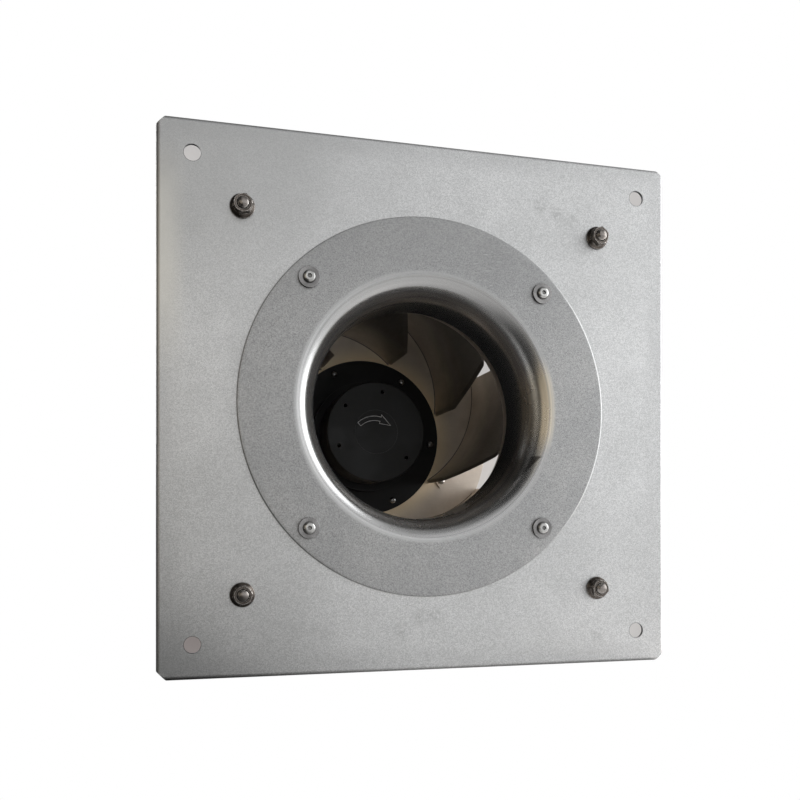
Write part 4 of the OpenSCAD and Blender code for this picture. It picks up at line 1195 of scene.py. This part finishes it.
class MakeImpeller(bpy.types.Operator):
    """Sheet finish, blade seams and rivets of the impeller"""
    bl_idname = "plug_fan.impeller"
    bl_label = "Impeller"

    def execute(self, context):
        look = context.scene.fan_impeller
        self.sheets(look)
        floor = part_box("impeller_backplate")[0].y
        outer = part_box("impeller_backplate")[1].x
        start = Vector((look.root, 0))
        end = Vector((outer * math.cos(look.wrap), outer * math.sin(look.wrap)))
        chord = end - start
        across = Vector((-chord.y, chord.x)).normalized()
        centre = (start + end) / 2 + across * math.sqrt(look.arc ** 2 - (chord.length / 2) ** 2)
        first = math.atan2(start.y - centre.y, start.x - centre.x)
        last = math.atan2(end.y - centre.y, end.x - centre.x)
        seam = coated("Blade seam", (0.17, 0.142, 0.118), grain_size=0.8 * MM, roughness=0.45, dust=0.4,
                      wear=0.0)
        for side, offset in (("inner", -SEAM_OFFSET), ("outer", SEAM_OFFSET)):
            bead = finished_piece(bmesh.new(), f"blade_seams_{side}")
            grown(bead, seam_tree(), Count=look.blade_count, First_Angle=look.first_blade,
                  Arc_Radius=look.arc + offset, Start=first, Sweep=(last - first) * SEAM_SHARE,
                  Centre=(centre.x, floor, centre.y), Bead=look.seam, Unevenness=SEAM_UNEVENNESS,
                  Material=seam)
            placed(bead, "rotor")
        self.blade_rivets(look, centre, first, last)
        self.hub_rivets()
        return {"FINISHED"}

    def sheets(self, look):
        """Finishes of the blades, the backplate and the shroud, with painted shade towards the inlet."""
        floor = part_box("impeller_backplate")[0].y
        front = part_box("blade_1")[0].y
        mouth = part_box("impeller_shroud")[0].y
        blade = impeller_sheet(look, "Blade sheet", painted_glow=0.5, depth_shade_strength=0.80, depth_shade_start=floor,
                               depth_shade_end=front + 0.35 * (floor - front))
        backplate = impeller_sheet(look, "Backplate sheet", painted_glow=0.8, depth_shade_strength=0.2, depth_shade_start=floor,
                                   depth_shade_end=floor - 10 * MM)
        shroud = impeller_sheet(look, "Shroud sheet", painted_glow=0.0, depth_shade_strength=0.5,
                                depth_shade_start=mouth + 50 * MM, depth_shade_end=mouth)
        dress([f"blade_{i + 1}" for i in range(look.blade_count)], blade)
        dress(["impeller_backplate"], backplate)
        dress(["impeller_shroud"], shroud)

    def blade_rivets(self, look, centre, first, last):
        """Domed rivets through the blades' feet, near the root and farther out."""
        aluminium = stainless_steel("Rivet aluminium", (0.70, 0.69, 0.67))
        reach = look.arc + BLADE_RIVET_OFFSET
        for name, along, stands_for in (("root_rivets", 0.1, ["blade_rivets"]), ("outer_rivets", 0.6, [])):
            piece = turned_piece(name, domed_rivet("blade_rivets", BLADE_RIVET_SHANK, BLADE_RIVET_HEAD), 32)
            angle = first + along * (last - first)
            shifted(piece, (centre.x + reach * math.cos(angle), 0, centre.y + reach * math.sin(angle)))
            grown(piece, turned_tree(), Count=look.blade_count, First_Angle=look.first_blade,
                  Material=aluminium)
            placed(piece, "rotor", None, stands_for)

    def hub_rivets(self):
        """Domed rivets through the hub ring."""
        dark = stainless_steel("Hub rivet steel", (0.28, 0.28, 0.28))
        outline = domed_rivet("hub_rivets", HUB_RIVET_SHANK, HUB_RIVET_HEAD)
        piece = turned_piece("hub_rivet_domes", outline, 32)
        grown(piece, ring_tree(), Count=HUB_RIVET_COUNT, Radius=HUB_RIVET_CIRCLE, First_Angle=HUB_RIVET_FIRST,
              Roll=0.0, Seed=0, Material=dark)
        placed(piece, "rotor", None, ["hub_rivets"])


class MakeMotor(bpy.types.Operator):
    """Rotor finish, its hub ring and its direction arrow"""
    bl_idname = "plug_fan.motor"
    bl_label = "Motor"

    def execute(self, context):
        look = context.scene.fan_motor
        # Wear 0.5 lightens the rotor's edges: partly rubbed paint, partly a painted rim highlight
        dress(["rotor_cup"], coated("Rotor black", look.coat, grain_size=0.7 * MM, roughness=0.46, dust=0.07,
                                    wear=0.5, gloss=0.35))
        dress(["hub_ring"], coated("Hub black", look.hub, grain_size=0.7 * MM, roughness=0.4, dust=0.03,
                                   wear=0.2, gloss=0.25))
        print_white = coated("Arrow print", look.arrow, grain_size=0.6 * MM, roughness=0.5, dust=0.3,
                             wear=0.0)
        arrow = self.arrow(look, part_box("rotor_cup")[0].y)
        placed(arrow, "rotor", print_white)
        return {"FINISHED"}

    def arrow(self, look, face):
        """Raised outline of a curved arrow on the rotor's face."""
        proud = 0.12 * MM
        outline = self.arrow_outline(look)
        mesh = bmesh.new()
        rows = [[], [], [], []]
        for i, here in enumerate(outline):
            before = (here - outline[i - 1]).normalized()
            after = (outline[(i + 1) % len(outline)] - here).normalized()
            lean = before + after
            side = Vector((-lean.y, lean.x)).normalized()
            widen = min(2.2, 1 / max(0.2, side.dot(Vector((-after.y, after.x)))))
            reach = side * look.arrow_line / 2 * widen
            for row, at, depth in ((0, here + reach, face + proud), (1, here + reach, face - proud),
                                   (2, here - reach, face - proud), (3, here - reach, face + proud)):
                rows[row].append(mesh.verts.new((at.x, depth, at.y)))
        bridge_rows(mesh, rows, True)
        return finished_piece(mesh, "direction_arrow", 40)

    def arrow_outline(self, look):
        """Points round a curved arrow, from its tail over its head and back."""
        centre = Vector((-1.5 * MM, -8.8 * MM))
        tail = math.radians(134.5)
        neck = math.radians(75)
        point = math.radians(44.5)
        half = look.arrow_width / 2
        outer = arc_points(centre, look.arrow_radius + half, tail, neck, 24)
        inner = arc_points(centre, look.arrow_radius - half, neck, tail, 24)
        barbs = [arc_points(centre, look.arrow_radius + reach, at, at, 1)[0]
                 for reach, at in ((2 * half, neck), (0, point), (-2 * half, neck))]
        return [Vector(place) for place in outer + barbs + inner]


class MakeHousing(bpy.types.Operator):
    """Electronics housing, its cover, screws and cable gland"""
    bl_idname = "plug_fan.housing"
    bl_label = "Housing"

    def execute(self, context):
        look = context.scene.fan_fasteners
        dress(["electronics_housing", "electronics_cover", "bearing_tube"], cast_metal())
        rubber = coated("Rubber", (0.012, 0.012, 0.012), grain_size=0.5 * MM, roughness=0.7, dust=0.3,
                        wear=0.0)
        plastic = coated("Gland plastic", (0.03, 0.03, 0.032), grain_size=0.6 * MM, roughness=0.4, dust=0.2,
                         wear=0.1)
        dress(["cover_gasket", "gland_seal"], rubber)
        dress(["cable_gland", "gland_nut"], plastic)
        self.screws(COVER_SCREW, screw_steel(look))
        self.screws(BRACKET_SCREW, bolt_steel(look))
        dress(["board_screws"], screw_steel(look))
        return {"FINISHED"}

    def screws(self, kind, material):
        """Ring of cap screws whose heads face the rear."""
        low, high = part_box(kind.node)
        seat = high.y - 2 * kind.shank
        outline = socket_head(kind.head, seat, high.y, low.y, kind.shank, kind.key_flats)
        screw = turned_piece(kind.piece, outline, 48)
        grown(screw, ring_tree(), Count=kind.count, Radius=kind.circle, First_Angle=kind.first, Roll=2.0,
              Seed=kind.count, Material=material)
        placed(screw, "frame", None, [kind.node])


class MakeInnerParts(bpy.types.Operator):
    """Finishes of the bearings, the stator and the board"""
    bl_idname = "plug_fan.inner_parts"
    bl_label = "Inner parts"

    def execute(self, context):
        polished = stainless_steel("Bearing steel", (0.66, 0.66, 0.66))
        bearings = [f"{end}_bearing_{part}" for end in ("front", "rear")
                    for part in ("outer_ring", "balls", "cage", "inner_ring")]
        sheets = layered("Stator sheets", (0.10, 0.10, 0.11), (0.26, 0.26, 0.28), direction="Y",
                         per_metre=320, metallic=0.8, roughness=0.45)
        copper = layered("Copper wire", (0.32, 0.13, 0.05), (0.66, 0.30, 0.14), direction="Y", per_metre=260,
                         metallic=0.85, roughness=0.3)
        magnet = layered("Magnet", (0.05, 0.05, 0.055), (0.12, 0.12, 0.125), direction="X", per_metre=40,
                         metallic=0.3, roughness=0.55)
        dress(bearings + ["rotor_shaft", "shaft_circlip", "preload_spring"], polished)
        dress(["stator_core"], sheets)
        dress(["stator_windings"], copper)
        dress(["rotor_magnets"], magnet)
        dress(["circuit_board"], board_laminate())
        return {"FINISHED"}


class MakeStage(bpy.types.Operator):
    """Camera, white floor and soft lights"""
    bl_idname = "plug_fan.stage"
    bl_label = "Stage"

    def execute(self, context):
        look = context.scene.fan_stage
        scene = context.scene
        self.camera(scene, look)
        self.floor()
        self.backing()
        self.lights(look)
        self.room(scene, look)
        scene.view_settings.view_transform = "Standard"
        return {"FINISHED"}

    def camera(self, scene, look):
        """Level camera with a raised lens."""
        camera = bpy.data.objects.new("camera", bpy.data.cameras.new("camera"))
        scene.collection.objects.link(camera)
        camera.location = look.camera
        camera.rotation_euler = (RIGHT_ANGLE, 0, look.pan)
        camera.data.lens = look.lens
        camera.data.sensor_width = look.sensor
        camera.data.shift_y = look.shift
        camera.data.clip_start = 10 * MM
        scene.camera = camera

    def floor(self):
        """Wide white floor under the plate, shaded below the fan and dark on the left in reflections."""
        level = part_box("mounting_plate")[0].z
        half_side = 6.0
        mesh = bmesh.new()
        bmesh.ops.create_grid(mesh, x_segments=2, y_segments=2, size=half_side)
        bmesh.ops.translate(mesh, vec=(0, 0, level), verts=mesh.verts)
        floor = finished_piece(mesh, "floor")
        made, tree, shader, place = new_material("Pale floor", 0.0, Roughness=0.9, Emission_Strength=0.16)
        x, y, _ = axes_of(tree, place)
        tone = times(tree, spread(tree, x, -0.2, 0.02), spread(tree, noise(tree, place, 3.0), 0.0, 0.4))
        paint = mixed(tree, tone, (0.04, 0.04, 0.04, 1), (0.9, 0.9, 0.9, 1))
        tree.links.new(paint, shader.inputs["Base Color"])
        tree.links.new(paint, shader.inputs["Emission Color"])
        under = near_point(tree, place, (0, 0.17, level), inner=0.03, outer=0.20)
        shade = times(tree, under, spread(tree, y, 0.01, 0.07))
        tint = mixed(tree, shade, (1, 1, 1, 1), (0.60, 0.60, 0.61, 1))
        seen = tree.nodes.new("ShaderNodeLightPath").outputs["Is Camera Ray"]
        white = add_node(tree, "ShaderNodeEmission", {"Color": tint, "Strength": 1.0})
        blend_surface(tree, seen, shader.outputs[0], white.outputs[0])
        floor.data.materials.append(made)

    def backing(self):
        """Pale grounds behind the corner holes and round the blades' outlet, each seen from one side."""
        behind = 10 * MM
        mesh = bmesh.new()
        self.squares(mesh, behind)
        self.outlet_strip(mesh)
        patches = finished_piece(mesh, "backing")
        patches.visible_diffuse = False
        patches.visible_glossy = False
        patches.visible_shadow = False
        made, tree, shader, place = new_material("Pale backing", 0.0, Roughness=0.9, Emission_Strength=0.5)
        paint = mixed(tree, noise(tree, place, 40.0), (0.12, 0.115, 0.11, 1), (0.18, 0.175, 0.17, 1))
        tree.links.new(paint, shader.inputs["Base Color"])
        shaded = near_point(tree, place, (-HOLE_PLACE, behind, -HOLE_PLACE), inner=0.03, outer=0.12)
        glow = mixed(tree, shaded, (1.0, 0.97, 0.955, 1), (0.40, 0.35, 0.34, 1))
        tree.links.new(glow, shader.inputs["Emission Color"])
        rear = tree.nodes.new("ShaderNodeNewGeometry").outputs["Backfacing"]
        clear = tree.nodes.new("ShaderNodeBsdfTransparent")
        blend_surface(tree, rear, shader.outputs[0], clear.outputs[0])
        patches.data.materials.append(made)

    def squares(self, mesh, behind):
        """Square behind each corner hole of the plate."""
        half = 18 * MM
        corners = ((-half, -half), (half, -half), (half, half), (-half, half))
        for x in (-HOLE_PLACE, HOLE_PLACE):
            for z in (-HOLE_PLACE, HOLE_PLACE):
                mesh.faces.new([mesh.verts.new((x + across, behind, z + up)) for across, up in corners])

    def outlet_strip(self, mesh):
        """Strip round the right of the impeller, from the shroud to just past the backplate."""
        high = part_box("impeller_backplate")[1]
        radius = high.x + 0.3 * MM
        ends = (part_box("impeller_shroud")[1].y, high.y + 1 * MM)
        rows = []
        for degrees in range(-60, 61, 5):
            angle = math.radians(degrees)
            x = radius * math.cos(angle)
            z = radius * math.sin(angle)
            rows.append([mesh.verts.new((x, y, z)) for y in ends])
        for below, above in zip(rows, rows[1:]):
            mesh.faces.new((below[0], above[0], above[1], below[1]))

    def lights(self, look):
        """Large light on the right, weak ones on the left and overhead, two behind and one at the outlet."""
        self.light("key_light", look.key, place=(1.75, -0.45, 0.4), size=(1.2, 2.2), tint=(0.96, 0.985, 1.0))
        self.light("warm_light", look.warm, place=(-0.75, -0.95, 0.15), size=(1.3, 0.9),
                   tint=(1.0, 0.9, 0.74))
        self.light("top_light", look.top, place=(0.1, -1.2, 1.2), size=(1.0, 1.0), tint=(0.97, 0.98, 1.0))
        for x in (-0.95, 0.95):
            self.light("rear_light", look.rear, place=(x, 1.5, 0.75), size=(1.4, 1.4), tint=(1.0, 0.99, 0.98))
        self.light("outlet_light", look.outlet, place=(0.46, 0.16, -0.12), size=(0.3, 0.3),
                   tint=(1.0, 0.95, 0.93), target=(0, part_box("impeller_backplate")[0].y, 0))

    def light(self, name, watts, place, size, tint, target=(0, 0, 0)):
        """Soft light that faces a target and isn't seen itself."""
        data = bpy.data.lights.new(name, "AREA")
        data.shape = "RECTANGLE"
        data.size = size[0]
        data.size_y = size[1]
        data.energy = watts
        data.color = tint
        lamp = bpy.data.objects.new(name, data)
        lamp.location = place
        lamp.rotation_euler = (Vector(target) - Vector(place)).to_track_quat("-Z", "Y").to_euler()
        lamp.visible_camera = False
        bpy.context.scene.collection.objects.link(lamp)

    def room(self, scene, look):
        """White backdrop for the camera, and a room that brightens to the right for everything else."""
        world = bpy.data.worlds.new("Room")
        world.use_nodes = True
        scene.world = world
        tree = world.node_tree
        tree.nodes.clear()
        x, y, z = axes_of(tree, tree.nodes.new("ShaderNodeTexCoord").outputs["Generated"])
        sideways = calc(tree, "ADD", spread(tree, x, -0.45, 0.05, look.room_dark, look.room_front),
                        spread(tree, x, 0.1, 1.0, 0.0, look.room_right - look.room_front))
        overhead = spread(tree, z, 0.15, 0.85, 1.0, 0.3)
        rear = spread(tree, y, -0.2, 0.5, 1.0, 0.4)
        level = times(tree, sideways, overhead, rear)
        room = add_node(tree, "ShaderNodeBackground", {"Color": (0.97, 0.985, 1.0, 1), "Strength": level})
        white = add_node(tree, "ShaderNodeBackground", {"Color": (1, 1, 1, 1), "Strength": 1.0})
        seen = tree.nodes.new("ShaderNodeLightPath").outputs["Is Camera Ray"]
        blend = add_node(tree, "ShaderNodeMixShader", {0: seen, 1: room.outputs[0], 2: white.outputs[0]})
        add_node(tree, "ShaderNodeOutputWorld", {0: blend.outputs[0]})


class PlugFanPanel(bpy.types.Panel):
    """Pieces of the plug fan"""
    bl_idname = "VIEW3D_PT_plug_fan"
    bl_label = "Plug fan"
    bl_space_type = "VIEW_3D"
    bl_region_type = "UI"
    bl_category = "Plug fan"

    def draw(self, context):
        for operator in OPERATORS:
            self.layout.operator(operator.bl_idname)
        for group in SETTINGS:
            box = self.layout.box()
            values = getattr(context.scene, group)
            for name in values.__annotations__:
                box.prop(values, name)


SETTINGS = {
    "fan_sheet": SheetLook,
    "fan_ring": RingShape,
    "fan_fasteners": FastenerShape,
    "fan_impeller": ImpellerLook,
    "fan_motor": MotorLook,
    "fan_stage": StageLook,
}
OPERATORS = [MakePlate, MakeInletRing, MakeRingScrews, MakeFlangeNuts, MakeStruts, MakeImpeller, MakeMotor,
             MakeHousing, MakeInnerParts, MakeStage]


def register():
    """Add the settings, operators and panel."""
    for item in list(SETTINGS.values()) + OPERATORS + [PlugFanPanel]:
        bpy.utils.register_class(item)
    for name, group in SETTINGS.items():
        setattr(bpy.types.Scene, name, PointerProperty(type=group))


def unregister():
    """Take the settings, operators and panel away."""
    for name in SETTINGS:
        delattr(bpy.types.Scene, name)
    for item in [PlugFanPanel] + OPERATORS + list(SETTINGS.values()):
        bpy.utils.unregister_class(item)


def main():
    """Make every piece and the stage."""
    register()
    for operator in OPERATORS:
        group, name = operator.bl_idname.split(".")
        getattr(getattr(bpy.ops, group), name)()


if __name__ == "__main__":
    main()
